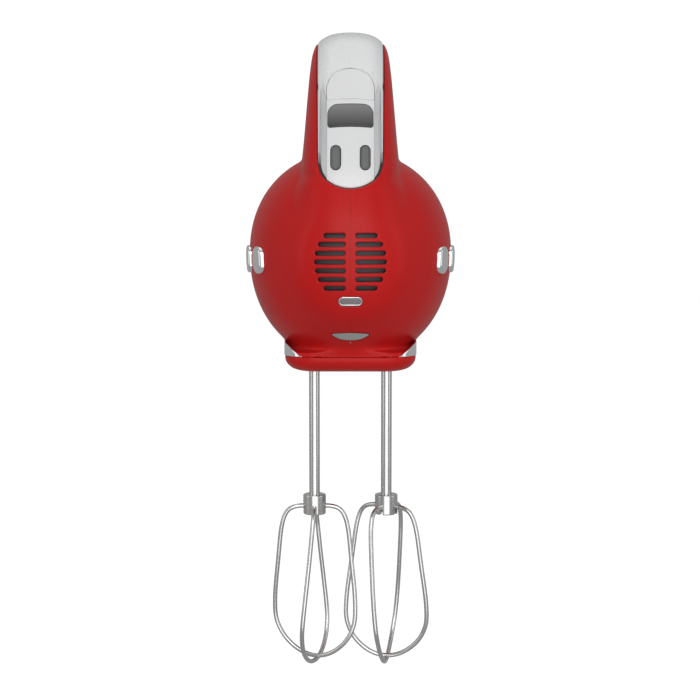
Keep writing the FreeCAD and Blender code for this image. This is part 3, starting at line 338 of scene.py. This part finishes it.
def handle(x, y, z):
    """Handle with its root, crowned across and well rounded, without the finger gap."""
    x2 = x * x
    crown = (0.0085 * x2 + 0.000026 * x2 * x2) * ramp(-y, -40.0, 10.0)
    taper = 2.2 * ramp(-y, -10.0, 50.0)
    return smax(side_plan(y - crown, z), front_plan(np.abs(x) + taper, z), 9.0)


def keyhole(x, z):
    """Front view of the raised nose face: a round field with a neck that runs up to the panel."""
    disc = np.sqrt(x * x + (0.96 * (z - 50.5)) ** 2) - 26.5
    neck = smax(np.abs(x) - 13.5, 60.0 - z, 4.0)
    return smin(disc, neck, 16.0)


def pod(x, y, z):
    """Ball in front, tapering body behind."""
    t = np.clip(y / HEEL_Y, 0.0, 1.0)
    width = POD_HALF * (1 - 0.20 * t**2.1)
    above = POD_ABOVE * (1 - 0.27 * t**1.9)
    below = POD_BELOW * (1 - 0.33 * t**1.6)
    height = np.where(z > POD_Z, above, below)
    rise = 3.0 * ramp(-keyhole(x, z), -8.0, 6.0) * ramp(-y, 15.0, 42.0)
    reach = np.minimum(y + rise, 0.0)
    n = 2.15
    q = (np.abs(x) / width) ** n + (np.abs(z - POD_Z) / height) ** n + (np.abs(reach) / NOSE) ** 2.05
    r = q ** (1 / n)
    scale = np.sqrt(x * x + (z - POD_Z) ** 2 + reach**2) / np.maximum(r, 1e-3)
    return (r - 1) * scale


FOOT_HALF_WIDTH = 30.5
FOOT_HALF_LENGTH = 39.0
FOOT_Y = 3.0
FOOT_CORNER = 15.0


def rounded_corner(u, v):
    """Distance to a corner at the origin whose sides run towards -u and -v."""
    return np.sqrt(np.maximum(u, 0) ** 2 + np.maximum(v, 0) ** 2) + np.minimum(np.maximum(u, v), 0)


def foot_plan(x, y, grow=0.0):
    """Plan outline of the foot, a rectangle with round corners, grown all round by grow."""
    dx = np.abs(x) - FOOT_HALF_WIDTH - grow + FOOT_CORNER
    dy = np.abs(y - FOOT_Y) - FOOT_HALF_LENGTH - grow + FOOT_CORNER
    return rounded_corner(dx, dy) - FOOT_CORNER


def body(x, y, z):
    """Whole outer skin of the housing."""
    soft = 1.4 + 9.0 * ramp(-y, 30.0, 50.0) * ramp(-z, -96.0, -84.0)
    d = smin(pod(x, y, z), handle(x, y, z), soft)
    d = smax(d, y - HEEL_Y, 7.0)
    d = smax(d, -gap_distance(y, z), 5.0)
    skirt = smax(smax(np.abs(x) - 28.5, foot_plan(x, y, -0.1), 2.0), z - 9.5, 1.0)
    return smin(d, skirt, 6.0)


# ------------------------------------------------------------------ openings and set-in outlines

VENT_Z = 51.7
VENT_PITCH = 3.84
VENT_HALF = 1.05


def capsule(u, v, half_length, radius):
    """Distance to a lying capsule."""
    along = np.maximum(np.abs(u) - half_length + radius, 0.0)
    return np.sqrt(along * along + v * v) - radius


VENT_INNER = 2.25
VENT_OUTER = 15.9


def vents(x, z):
    """Seven rows of slots whose outer ends lie on a circle."""
    best = None
    for row in range(-3, 4):
        reach = math.sqrt(VENT_OUTER**2 - (0.93 * row * VENT_PITCH) ** 2)
        middle, half = (reach + VENT_INNER) / 2, (reach - VENT_INNER) / 2
        d = capsule(np.abs(x) - middle, z - VENT_Z - row * VENT_PITCH, half, VENT_HALF)
        best = d if best is None else np.minimum(best, d)
    return best


PANEL_HALF = 14.45


def strip_outline(x, z):
    """Front view of the silver strip: straight sides, round lower end."""
    side = np.abs(x) - (PANEL_HALF + 0.9 * np.clip((z - 92.6) / 57.0, 0.0, 1.0))
    radius = 16.2
    low = np.sqrt(x * x + (z - 83.9 - radius) ** 2) - radius
    return smax(side, np.where(z < 83.9 + radius, low, -radius), 3.0)


DISPLAY_HALF = 10.2
DISPLAY_LOW, DISPLAY_HIGH = 111.1, 121.6
DISPLAY_CORNER = 4.2


def display_outline(x, z):
    """Flat display with two large upper corners and a bottom edge that bows up in the middle."""
    bow = 1 - (x / DISPLAY_HALF) ** 2
    low = DISPLAY_LOW + 0.55 * bow
    dx = np.abs(x) - DISPLAY_HALF + DISPLAY_CORNER
    dz = z - (DISPLAY_HIGH + 0.5 * bow) + DISPLAY_CORNER
    return smax(rounded_corner(dx, dz) - DISPLAY_CORNER, low - z, 1.6)


def button_outline(x, z):
    """The two upright pills, mirrored about x = 0."""
    return capsule(z - 97.6, np.abs(x) - 6.55, 5.5, 2.25)


PAD_TILT = math.radians(33.2)
PAD_Y, PAD_Z = -30.75, 131.75
ROD_SLOPE = math.radians(28.4)
ROD_Y = -16.0


def pad_outline(x, y, z):
    """Eject pad: arched above, flat below, measured square to its own face."""
    up = (y - PAD_Y) * math.sin(PAD_TILT) + (z - PAD_Z) * math.cos(PAD_TILT)
    side = np.abs(x) - 10.8
    top = np.sqrt(x * x + (up + 6.3) ** 2) - 15.0
    return smax(smax(side, -8.65 - up, 1.0), np.where(up > 0, top, -10.0), 5.0)


STRIP_SPLIT_Y = -3.0


def shell_right(x, y, z):
    """Housing wall with the strip's opening, the vents, the trim seats, the sole and the inlet."""
    d = body(x, y, z)
    wall = smax(d, -(d + 2.3), 0.6)
    skin = strip_outline(x, z) - 0.3
    in_front = np.maximum(y - 112.1, 82.0 - z)
    opening = np.maximum(np.maximum(skin, in_front), -(handle(x, y, z) + 3.0))
    wall = smax(wall, -opening, 0.5)
    front = y + 25.0
    wall = smax(wall, -np.maximum(vents(x, z), front), 0.5)
    wall = smax(wall, -np.maximum(plaque_outline(x, z), front), 0.35)
    wall = smax(wall, -np.maximum(lens_outline(x, z), front), 0.35)
    wall = smax(wall, SOLE_Z - 0.1 - z, 0.15)
    inlet = np.sqrt(x * x + (z - 117.0) ** 2) - 6.6
    return smax(wall, -np.maximum(inlet, 100.0 - y), 0.6)


def plaque_outline(x, z):
    """Small lying pill under the vents."""
    return capsule(x, z - 34.3, 5.35, 2.1)


def lens_outline(x, z):
    """Low lens shape: nearly flat above, bowed below."""
    top = z - 19.5 + 0.008 * x * x
    low = 15.7 - z + 3.2 * (np.abs(x) / 8.9) ** 2.7
    return smax(top, low, 0.5)


# ------------------------------------------------------------------ materials


class Recipe:
    """Small helper round one Principled material's node tree."""

    def __init__(self, name):
        self.material = bpy.data.materials.new(name)
        self.material.use_nodes = True
        self.nodes = self.material.node_tree.nodes
        self.links = self.material.node_tree.links
        self.shader = self.nodes["Principled BSDF"]
        self.coords = self.nodes.new("ShaderNodeTexCoord")

    def set(self, **sockets):
        for key, value in sockets.items():
            self.shader.inputs[key.replace("_", " ")].default_value = value

    def noise(self, scale, detail=3.0, stretch=(1, 1, 1)):
        mapping = self.nodes.new("ShaderNodeMapping")
        mapping.inputs["Scale"].default_value = stretch
        self.links.new(self.coords.outputs["Object"], mapping.inputs["Vector"])
        tex = self.nodes.new("ShaderNodeTexNoise")
        tex.inputs["Scale"].default_value = scale
        tex.inputs["Detail"].default_value = detail
        self.links.new(mapping.outputs["Vector"], tex.inputs["Vector"])
        return tex.outputs["Fac"]

    def colours(self, factor, dark, light, low=0.3, high=0.7):
        node = self.nodes.new("ShaderNodeValToRGB")
        node.color_ramp.elements[0].position = low
        node.color_ramp.elements[0].color = (*dark, 1)
        node.color_ramp.elements[1].position = high
        node.color_ramp.elements[1].color = (*light, 1)
        self.links.new(factor, node.inputs["Fac"])
        self.links.new(node.outputs["Color"], self.shader.inputs["Base Color"])

    def roughness(self, factor, low, high):
        node = self.nodes.new("ShaderNodeMapRange")
        node.inputs["To Min"].default_value = low
        node.inputs["To Max"].default_value = high
        self.links.new(factor, node.inputs["Value"])
        self.links.new(node.outputs["Result"], self.shader.inputs["Roughness"])

    def bump(self, factor, strength, distance):
        node = self.nodes.new("ShaderNodeBump")
        node.inputs["Strength"].default_value = strength
        node.inputs["Distance"].default_value = distance
        self.links.new(factor, node.inputs["Height"])
        self.links.new(node.outputs["Normal"], self.shader.inputs["Normal"])


def plastic(name, dark, light, rough, grain=900.0, bump=0.05, coat=0.0, coat_rough=0.1, shine=0.5):
    r = Recipe(name)
    cloud = r.noise(18.0, 2.0)
    fine = r.noise(grain, 3.0)
    r.colours(cloud, dark, light)
    r.roughness(fine, rough[0], rough[1])
    r.bump(fine, bump, 0.00005)
    r.set(Coat_Weight=coat, Coat_Roughness=coat_rough, IOR=1.5, Specular_IOR_Level=shine)
    return r.material


def metal(name, dark, light, rough, stretch=(1, 1, 1), grain=500.0, bump=0.03):
    r = Recipe(name)
    lines = r.noise(grain, 2.0, stretch)
    cloud = r.noise(30.0, 2.0)
    r.colours(cloud, dark, light)
    r.roughness(lines, rough[0], rough[1])
    r.bump(lines, bump, 0.00003)
    r.set(Metallic=1.0)
    return r.material


RED = plastic("red_gloss", (0.43, 0.006, 0.006), (0.47, 0.008, 0.008), (0.38, 0.44),
              1400.0, 0.03, 0.03, 0.25, 0.16)
SILVER = plastic("silver_gloss", (0.63, 0.635, 0.64), (0.68, 0.68, 0.68), (0.22, 0.30),
                 1600.0, 0.02, 0.2, 0.1)
CHROME = metal("chrome_bright", (0.74, 0.75, 0.76), (0.84, 0.84, 0.85), (0.06, 0.12),
               grain=300.0, bump=0.01)
STEEL_WIRE = metal("steel_wire", (0.56, 0.56, 0.56), (0.64, 0.64, 0.63), (0.17, 0.26),
                   (1, 1, 0.12), 900.0, 0.03)
STEEL = metal("steel_turned", (0.42, 0.42, 0.43), (0.52, 0.52, 0.53), (0.25, 0.38), (1, 1, 0.2), 700.0)
BLACK_SEAL = plastic("black_seal", (0.010, 0.010, 0.011), (0.016, 0.016, 0.017), (0.45, 0.55))


def smoked_window_painted_reflection():
    """Dark window with a painted reflection: paler towards its upper edge, by height."""
    r = Recipe("smoked_window_painted_reflection")
    fine = r.noise(900.0, 2.0)
    split = r.nodes.new("ShaderNodeSeparateXYZ")
    r.links.new(r.coords.outputs["Object"], split.inputs["Vector"])
    height = r.nodes.new("ShaderNodeMapRange")
    height.inputs["From Min"].default_value = 0.1113
    height.inputs["From Max"].default_value = 0.1222
    r.links.new(split.outputs["Z"], height.inputs["Value"])
    # painted reflection: the colour runs from dark at the window's lower edge to paler at its upper edge
    r.colours(height.outputs["Result"], (0.040, 0.040, 0.041), (0.20, 0.20, 0.201), 0.0, 1.0)
    r.roughness(fine, 0.22, 0.28)
    r.bump(fine, 0.01, 0.00005)
    r.set(IOR=1.45)
    return r.material


DISPLAY = smoked_window_painted_reflection()


def silver_panel_painted_facet_shade():
    """Silver lacquer with painted shade: greyer facets down both sides of the panel, darkened by position."""
    r = Recipe("silver_panel_painted_shade")
    fine = r.noise(1600.0, 3.0)
    split = r.nodes.new("ShaderNodeSeparateXYZ")
    r.links.new(r.coords.outputs["Object"], split.inputs["Vector"])
    aside = r.nodes.new("ShaderNodeMath")
    aside.operation = "ABSOLUTE"
    r.links.new(split.outputs["X"], aside.inputs[0])
    parts = []
    for source, start, end in ((aside.outputs[0], 0.0103, 0.0109), (split.outputs["Z"], 0.134, 0.120),
                               (aside.outputs[0], 0.0142, 0.0137)):
        step = r.nodes.new("ShaderNodeMapRange")
        step.inputs["From Min"].default_value = start
        step.inputs["From Max"].default_value = end
        r.links.new(source, step.inputs["Value"])
        parts.append(step.outputs["Result"])
    both = parts[0]
    for part in parts[1:]:
        product = r.nodes.new("ShaderNodeMath")
        product.operation = "MULTIPLY"
        r.links.new(both, product.inputs[0])
        r.links.new(part, product.inputs[1])
        both = product.outputs[0]
    # painted shade: the side facets, picked out by |x| and height, get a darker grey than the deck
    r.colours(both, (0.655, 0.66, 0.665), (0.47, 0.475, 0.48), 0.0, 1.0)
    r.roughness(fine, 0.25, 0.29)
    r.bump(fine, 0.004, 0.00005)
    r.set(Coat_Weight=0.2, Coat_Roughness=0.1, IOR=1.5)
    return r.material


PANEL = silver_panel_painted_facet_shade()
GREY_BUTTON = plastic("button_grey", (0.11, 0.11, 0.112), (0.138, 0.138, 0.14), (0.45, 0.55), 2200.0, 0.1)
LENS = plastic("lens_grey", (0.25, 0.28, 0.26), (0.33, 0.36, 0.34), (0.25, 0.35), 1500.0, 0.03)
GREY_PLAQUE = plastic("plaque_grey", (0.16, 0.145, 0.15), (0.21, 0.19, 0.195), (0.35, 0.45), 1500.0, 0.06)
COLLAR = plastic("collar_pale", (0.55, 0.55, 0.56), (0.66, 0.66, 0.66), (0.3, 0.4))
NYLON = plastic("nylon_white", (0.70, 0.69, 0.64), (0.80, 0.79, 0.74), (0.4, 0.5), 800.0, 0.06)
BLACK_PLASTIC = plastic("black_plastic", (0.022, 0.022, 0.024), (0.034, 0.034, 0.036), (0.45, 0.58),
                        1800.0, 0.2)
RUBBER = plastic("rubber_dark", (0.032, 0.032, 0.034), (0.05, 0.05, 0.052), (0.7, 0.85), 1500.0, 0.35)
BOARD = plastic("board_green", (0.02, 0.14, 0.06), (0.04, 0.2, 0.09), (0.3, 0.4))
YELLOW = plastic("capacitor_yellow", (0.58, 0.40, 0.04), (0.68, 0.48, 0.06), (0.35, 0.45))
CARBON = plastic("carbon", (0.03, 0.03, 0.03), (0.06, 0.06, 0.06), (0.6, 0.75), 2500.0, 0.3)
COPPER = metal("copper_wire", (0.50, 0.18, 0.08), (0.68, 0.30, 0.15), (0.25, 0.4), (1, 0.1, 1), 900.0, 0.2)
LAMINATION = metal("laminated_iron", (0.18, 0.18, 0.19), (0.27, 0.27, 0.28), (0.4, 0.55),
                   (0.1, 6, 0.1), 900.0, 0.3)
BRONZE = metal("bronze", (0.44, 0.30, 0.13), (0.58, 0.41, 0.20), (0.3, 0.45))

BY_SLOT = {
    "red_shell": RED, "foot_red": RED, "silver_panel": SILVER, "chrome_trim": CHROME, "black_seal": BLACK_SEAL,
    "dark_window": DISPLAY, "grey_button": GREY_BUTTON, "grey_plaque": GREY_PLAQUE, "steel_wire": STEEL_WIRE,
    "steel_part": STEEL, "pale_collar": COLLAR, "white_nylon": NYLON, "black_plastic": BLACK_PLASTIC,
    "copper": COPPER, "lamination": LAMINATION, "bronze": BRONZE, "carbon": CARBON, "board_green": BOARD,
    "capacitor_yellow": YELLOW, "rubber_foot": RUBBER,
}
for row in frame["record"]["subparts"]:
    node = frame["nodes"][row["node"]]
    node.data.materials.clear()
    node.data.materials.append(BY_SLOT[row["material_slot"]])

# ------------------------------------------------------------------ body pieces

COARSE = 0.6
FINE = 0.3

mirrored_pair(
    "shell", shell_right, (0, -66, 6), (50, 140, 163), COARSE, "housing",
    (("housing_left",), ("housing_right",)), RED)


def panel_relief(x, z):
    """How far the panel's surface lies under the plain handle surface, by place."""
    ax = np.abs(x)
    # flat facets at both sides, dropping outwards from the raised deck
    wing_in = 10.35 + 0.5 * ramp(z, 112.0, 124.0) + 1.6 * ramp(z, 124.0, 132.0)
    wing = ramp(ax, wing_in, wing_in + 0.5) * (1 - ramp(z, 128.0, 133.0))
    drop = wing * (0.45 + 0.8 * np.clip((ax - 10.5) / 4.0, 0.0, 1.0))
    rim = ramp(ax, 13.5, 14.0) * (1 - ramp(z, 128.0, 133.0))
    drop = drop * (1 - rim)
    # shallow dish above the display
    up = z - 139.0 + 0.012 * x * x * (ax > 6)
    dish = ramp(-up, -0.3, 0.9) * ramp(10.9 - ax, -0.3, 0.8) * ramp(z, 122.0, 137.0)
    drop = drop + 0.75 * dish
    return drop


def panel(x, y, z):
    """Front panel of the handle, with wells for the window, the pills and the eject pad."""
    d = handle(x, y, z) + panel_relief(x, z)
    d = smax(d, strip_outline(x, z), 0.8)
    d = smax(d, -(handle(x, y, z) + 2.6), 0.3)
    d = smax(d, y - STRIP_SPLIT_Y, 0.3)
    well = np.maximum(display_outline(x, z) - 0.12, -(handle(x, y, z) + 1.3))
    d = smax(d, -well, 0.25)
    button = np.maximum(button_outline(x, z) - 0.15, y + 20)
    d = smax(d, -button, 0.3)
    d = smax(d, -(pad_outline(x, y, z) - 0.06), 0.12)
    return np.maximum(d, 82.5 - z)


field_piece("panel", panel, (-16, -58, 83), (16, -2, 162), FINE, "housing",
            ("control_panel",), PANEL)


def top_strip(x, y, z):
    """Silver strip over the handle's top, behind the panel."""
    h = handle(x, y, z)
    d = smax(h, strip_outline(x, z), 0.8)
    d = smax(d, -(h + 2.3), 0.3)
    d = smax(d, STRIP_SPLIT_Y + 0.25 - y, 0.3)
    d = smax(d, y - 112.0, 0.5)
    return np.maximum(d, 120.0 - z)


field_piece("top_strip", top_strip, (-16, -4, 120), (16, 113, 163), 1.5 * FINE, "housing",
            ("handle_top_strip",), SILVER)


def gasket(x, y, z):
    """Dark seal that shows in the narrow gap round the silver strip."""
    d = handle(x, y, z)
    ring = np.abs(strip_outline(x, z) - 0.1) - 0.9
    layer = smax(d + 0.35, -(d + 2.0), 0.2)
    return np.maximum(np.maximum(np.maximum(layer, ring), y - 112.3), 82.5 - z)


field_piece("seal", gasket, (-18, -58, 82), (18, 113, 163), 1.6 * FINE, "housing",
            ("handle_gasket",), BLACK_SEAL)


def window(x, y, z):
    """Display window, set just under the panel's face."""
    h = handle(x, y, z)
    d = smax(h + 0.15, display_outline(x, z), 0.5)
    return smax(d, -(h + 1.6), 0.2)


field_piece("display_glass", window, (-11, -44, 111), (11, -24, 125), FINE, "housing",
            ("display_window",), DISPLAY)


def button(x, y, z):
    """Pill cap with a fine groove inside its rim."""
    h = handle(x, y, z)
    edge = button_outline(x, z) + 0.12
    groove = ramp(edge, -0.75, -0.6) * (1 - ramp(edge, -0.5, -0.35))
    dome = h + 0.25 + 0.22 * groove
    return smax(smax(dome, edge, 0.3), -(h + 4.0), 0.2)


for side, sign in (("left", -1), ("right", 1)):
    low = sorted((sign * 3.5, sign * 10.0))
    field_piece(f"button_cap_{side}", button, (low[0], -54, 91), (low[1], -38, 105), 0.7 * FINE, f"button_{side}",
                (f"speed_button_{side}",), GREY_BUTTON)


def eject_pad(x, y, z):
    """Pad with the foot that reaches in to the ejector rod."""
    face = handle(x, y, z) + panel_relief(x, z)
    face = smax(face, pad_outline(x, y, z) + 0.04, 0.15)
    face = smax(face, -(handle(x, y, z) + 3.0), 0.3)
    inward = (y - PAD_Y) * math.cos(PAD_TILT) - (z - PAD_Z) * math.sin(PAD_TILT)
    up = (y - PAD_Y) * math.sin(PAD_TILT) + (z - PAD_Z) * math.cos(PAD_TILT)
    foot = np.maximum(np.maximum(np.abs(x) - 3.0, np.abs(inward - 10.3) - 8.7), np.abs(up - 1.0) - 3.0)
    above_rod = (z - 119.0) * math.cos(ROD_SLOPE) - (y - ROD_Y) * math.sin(ROD_SLOPE)
    return np.minimum(face, np.maximum(foot, 0.15 - above_rod))


field_piece("pad_face", eject_pad, (-12, -42, 112), (12, -10, 142), FINE, "eject_pad",
            ("eject_pad",), SILVER)


# ------------------------------------------------------------------ nose trim


def nose_inset(outline, proud, depth):
    """Field of a trim piece that follows the nose, proud of it by one amount and sunk by another."""

    def f(x, y, z):
        d = body(x, y, z)
        return smax(smax(smax(d - proud, -(d + depth), 0.2), outline(x, z), 0.35), y + 25, 0.1)
    return f


field_piece("plaque_face", nose_inset(lambda x, z: plaque_outline(x, z) + 0.75, 0.25, 1.8),
            (-7, -68, 30), (7, -52, 38), 0.8 * FINE, "housing", ("nose_plaque",), GREY_PLAQUE)
field_piece("plaque_rim", nose_inset(lambda x, z: np.abs(plaque_outline(x, z) + 0.4) - 0.36, 0.45, 1.8),
            (-7, -68, 30), (7, -52, 38), 0.7 * FINE, "housing", ("nose_plaque_rim",), CHROME)
field_piece("lens_inlay", nose_inset(lambda x, z: lens_outline(x, z) + 0.1, 0.3, 1.8),
            (-10, -66, 12), (10, -36, 21), 0.8 * FINE, "housing", ("nose_lens_trim",), LENS)


def vent_painted_shade_disc(x, y, z):
    """Dark round disc close behind the vents: painted shade for the dark inside seen through the slots."""
    d = body(x, y, z)
    layer = smax(d + 2.4, -(d + 3.4), 0.2)
    disc = np.sqrt(x * x + (z - VENT_Z) ** 2) - 20.0
    return np.maximum(np.maximum(layer, disc), y + 25)


# painted shade: a black disc behind the vents that makes the slots look dark
field_piece("vent_painted_shade_disc", vent_painted_shade_disc, (-21, -66, 30), (21, -50, 73), 0.7, "housing",
            (), BLACK_PLASTIC)


def studs(x, y, z):
    """Three plain rounded studs on the side of the ball."""
    d = pod(x, y, z)
    best = None
    for index in range(3):
        middle = -31.5 + 17.0 * index
        e = capsule(z - 51.8, y - middle, 6.3, 4.2)
        best = e if best is None else np.minimum(best, e)
    return smax(smax(d - 1.95, -(d + 0.6), 0.2), best, 1.1)


mirrored_pair("studs", studs, (34, -37, 44), (51, 8, 60), 0.45, "housing",
              (("side_studs_left",), ("side_studs_right",)), CHROME)


# ------------------------------------------------------------------ foot


def foot_block(x, y, z):
    """Foot with rounded lower edges, hollow inside, with two holes for the sockets."""
    t = np.clip((6.4 - z) / 6.4, 0.0, 0.999)
    d = foot_plan(x, y) + 9.0 * (1 - np.sqrt(1 - t * t))
    d = smax(d, -z, 1.5)
    d = smax(d, z - 7.38, 0.1)
    inside = np.maximum(foot_plan(x, y, -5.5), 2.4 - z)
    d = smax(d, -inside, 0.5)
    for sign in (-1, 1):
        hole = np.sqrt((x - sign * 17.4) ** 2 + y * y) - 6.55
        d = np.maximum(d, -hole)
    return d


field_piece("foot_shell", foot_block, (-32, -37, 0), (32, 43, 8), 0.8 * COARSE, "housing",
            ("foot",), RED)


def fin(x, y, z):
    """Bright corner plate: low towards the middle, rising outwards along the ball's curve."""
    d = smax(foot_plan(x, y, 0.35), -foot_plan(x, y, -6.0), 0.3)
    d = smax(d, 7.4 - z, 0.3)
    slope = z - 7.6 - 6.6 * np.clip((x - 22.0) / 8.8, 0.0, 1.0) ** 1.15
    d = smax(d, 0.75 * slope, 0.4)
    return smax(d, 21.5 - x, 0.4)


mirrored_pair("fin", fin, (20, -38, 7), (32, 44, 15), 0.5, "housing",
              (("foot_band_left",), ("foot_band_right",)), CHROME)

# ------------------------------------------------------------------ stage, light, camera


def stage_object(name, verts, faces, material):
    mesh = bpy.data.meshes.new(name)
    mesh.from_pydata(verts, [], faces)
    mesh.materials.append(material)
    obj = bpy.data.objects.new(name, mesh)
    bpy.context.scene.collection.objects.link(obj)
    return obj


floor_recipe = Recipe("floor_pale")
floor_recipe.colours(floor_recipe.noise(3.0), (0.30, 0.30, 0.30), (0.33, 0.33, 0.33))
floor_recipe.set(Roughness=0.95, Specular_IOR_Level=0.0,
                 Emission_Color=(1, 1, 1, 1), Emission_Strength=0.88)
# low enough that pulled beaters stay above it; the part is held in the hand, so nothing rests on it
floor_z = cad_box[0].z - 0.05
ring = [(6.1 * math.cos(a), 6.1 * math.sin(a), floor_z) for a in np.linspace(0, 2 * math.pi, 65)[:-1]]
floor = stage_object("floor", ring, [tuple(range(64))], floor_recipe.material)

backdrop_recipe = Recipe("backdrop_white")
backdrop_recipe.set(Base_Color=(0, 0, 0, 1), Roughness=1.0,
                    Emission_Color=(1, 1, 1, 1), Emission_Strength=1.05)
angles = np.linspace(0, 2 * math.pi, 49)[:-1]
rings = [(6 * math.cos(e), 6 * math.sin(e)) for e in np.linspace(-0.04, 1.45, 12)]
dome_verts = [(r * math.cos(a), r * math.sin(a), h) for r, h in rings for a in angles] + [(0, 0, 6.05)]
dome_faces = []
for i in range(11):
    for j in range(48):
        here, beside = i * 48 + j, i * 48 + (j + 1) % 48
        dome_faces.append((here, beside, beside + 48, here + 48))
for j in range(48):
    dome_faces.append((11 * 48 + j, 11 * 48 + (j + 1) % 48, 12 * 48))
dome = stage_object("backdrop", dome_verts, dome_faces, backdrop_recipe.material)
for flag in ("visible_diffuse", "visible_glossy", "visible_transmission", "visible_shadow"):
    setattr(dome, flag, False)
    setattr(floor, flag, False)

world = bpy.data.worlds.new("studio")
bpy.context.scene.world = world
world.use_nodes = True
wn, wl = world.node_tree.nodes, world.node_tree.links
coords = wn.new("ShaderNodeTexCoord")
split = wn.new("ShaderNodeSeparateXYZ")
wl.new(coords.outputs["Generated"], split.inputs["Vector"])
tone = wn.new("ShaderNodeValToRGB")
tone.color_ramp.elements[0].position = 0.0
tone.color_ramp.elements[0].color = (0.42, 0.42, 0.42, 1)
tone.color_ramp.elements[1].position = 1.0
tone.color_ramp.elements[1].color = (0.46, 0.46, 0.46, 1)
half = wn.new("ShaderNodeMath")
half.operation = "MULTIPLY_ADD"
half.inputs[1].default_value = 0.5
half.inputs[2].default_value = 0.5
wl.new(split.outputs["Z"], half.inputs[0])
wl.new(half.outputs[0], tone.inputs["Fac"])
wl.new(tone.outputs["Color"], wn["Background"].inputs["Color"])
wn["Background"].inputs["Strength"].default_value = 0.9


def softbox(name, location, target, size, power, colour=(1, 1, 1)):
    light = bpy.data.lights.new(name, "AREA")
    light.shape = "RECTANGLE"
    light.size, light.size_y = size
    light.energy = power
    light.color = colour
    obj = bpy.data.objects.new(name, light)
    bpy.context.scene.collection.objects.link(obj)
    obj.location = location
    obj.rotation_mode = "QUATERNION"
    obj.rotation_quaternion = (Vector(target) - Vector(location)).to_track_quat("-Z", "Y")
    return obj


softbox("key_front", (0.0, -1.5, 0.75), (0, 0, 0.05), (1.3, 0.9), 10.0)
softbox("fill_front", (0.15, -1.6, -0.25), (0, 0, 0.02), (1.6, 1.2), 9.0)
softbox("side_left", (-1.4, -0.5, 0.4), (0, 0, 0.05), (0.5, 1.4), 2.5)
softbox("side_right", (1.4, -0.5, 0.4), (0, 0, 0.05), (0.5, 1.4), 2.5)
softbox("top", (0.0, 0.1, 1.6), (0, 0, 0.05), (1.4, 1.4), 4.0)

camera_data = bpy.data.cameras.new("camera")
camera = bpy.data.objects.new("camera", camera_data)
bpy.context.scene.collection.objects.link(camera)
camera_data.sensor_width = 36.0
camera_data.lens = 75.0
camera.location = (-0.0002, -0.700, 0.070)
camera.rotation_euler = (math.radians(90 - 5.09), 0, 0)
bpy.context.scene.camera = camera
bpy.context.scene.view_settings.view_transform = "Standard"
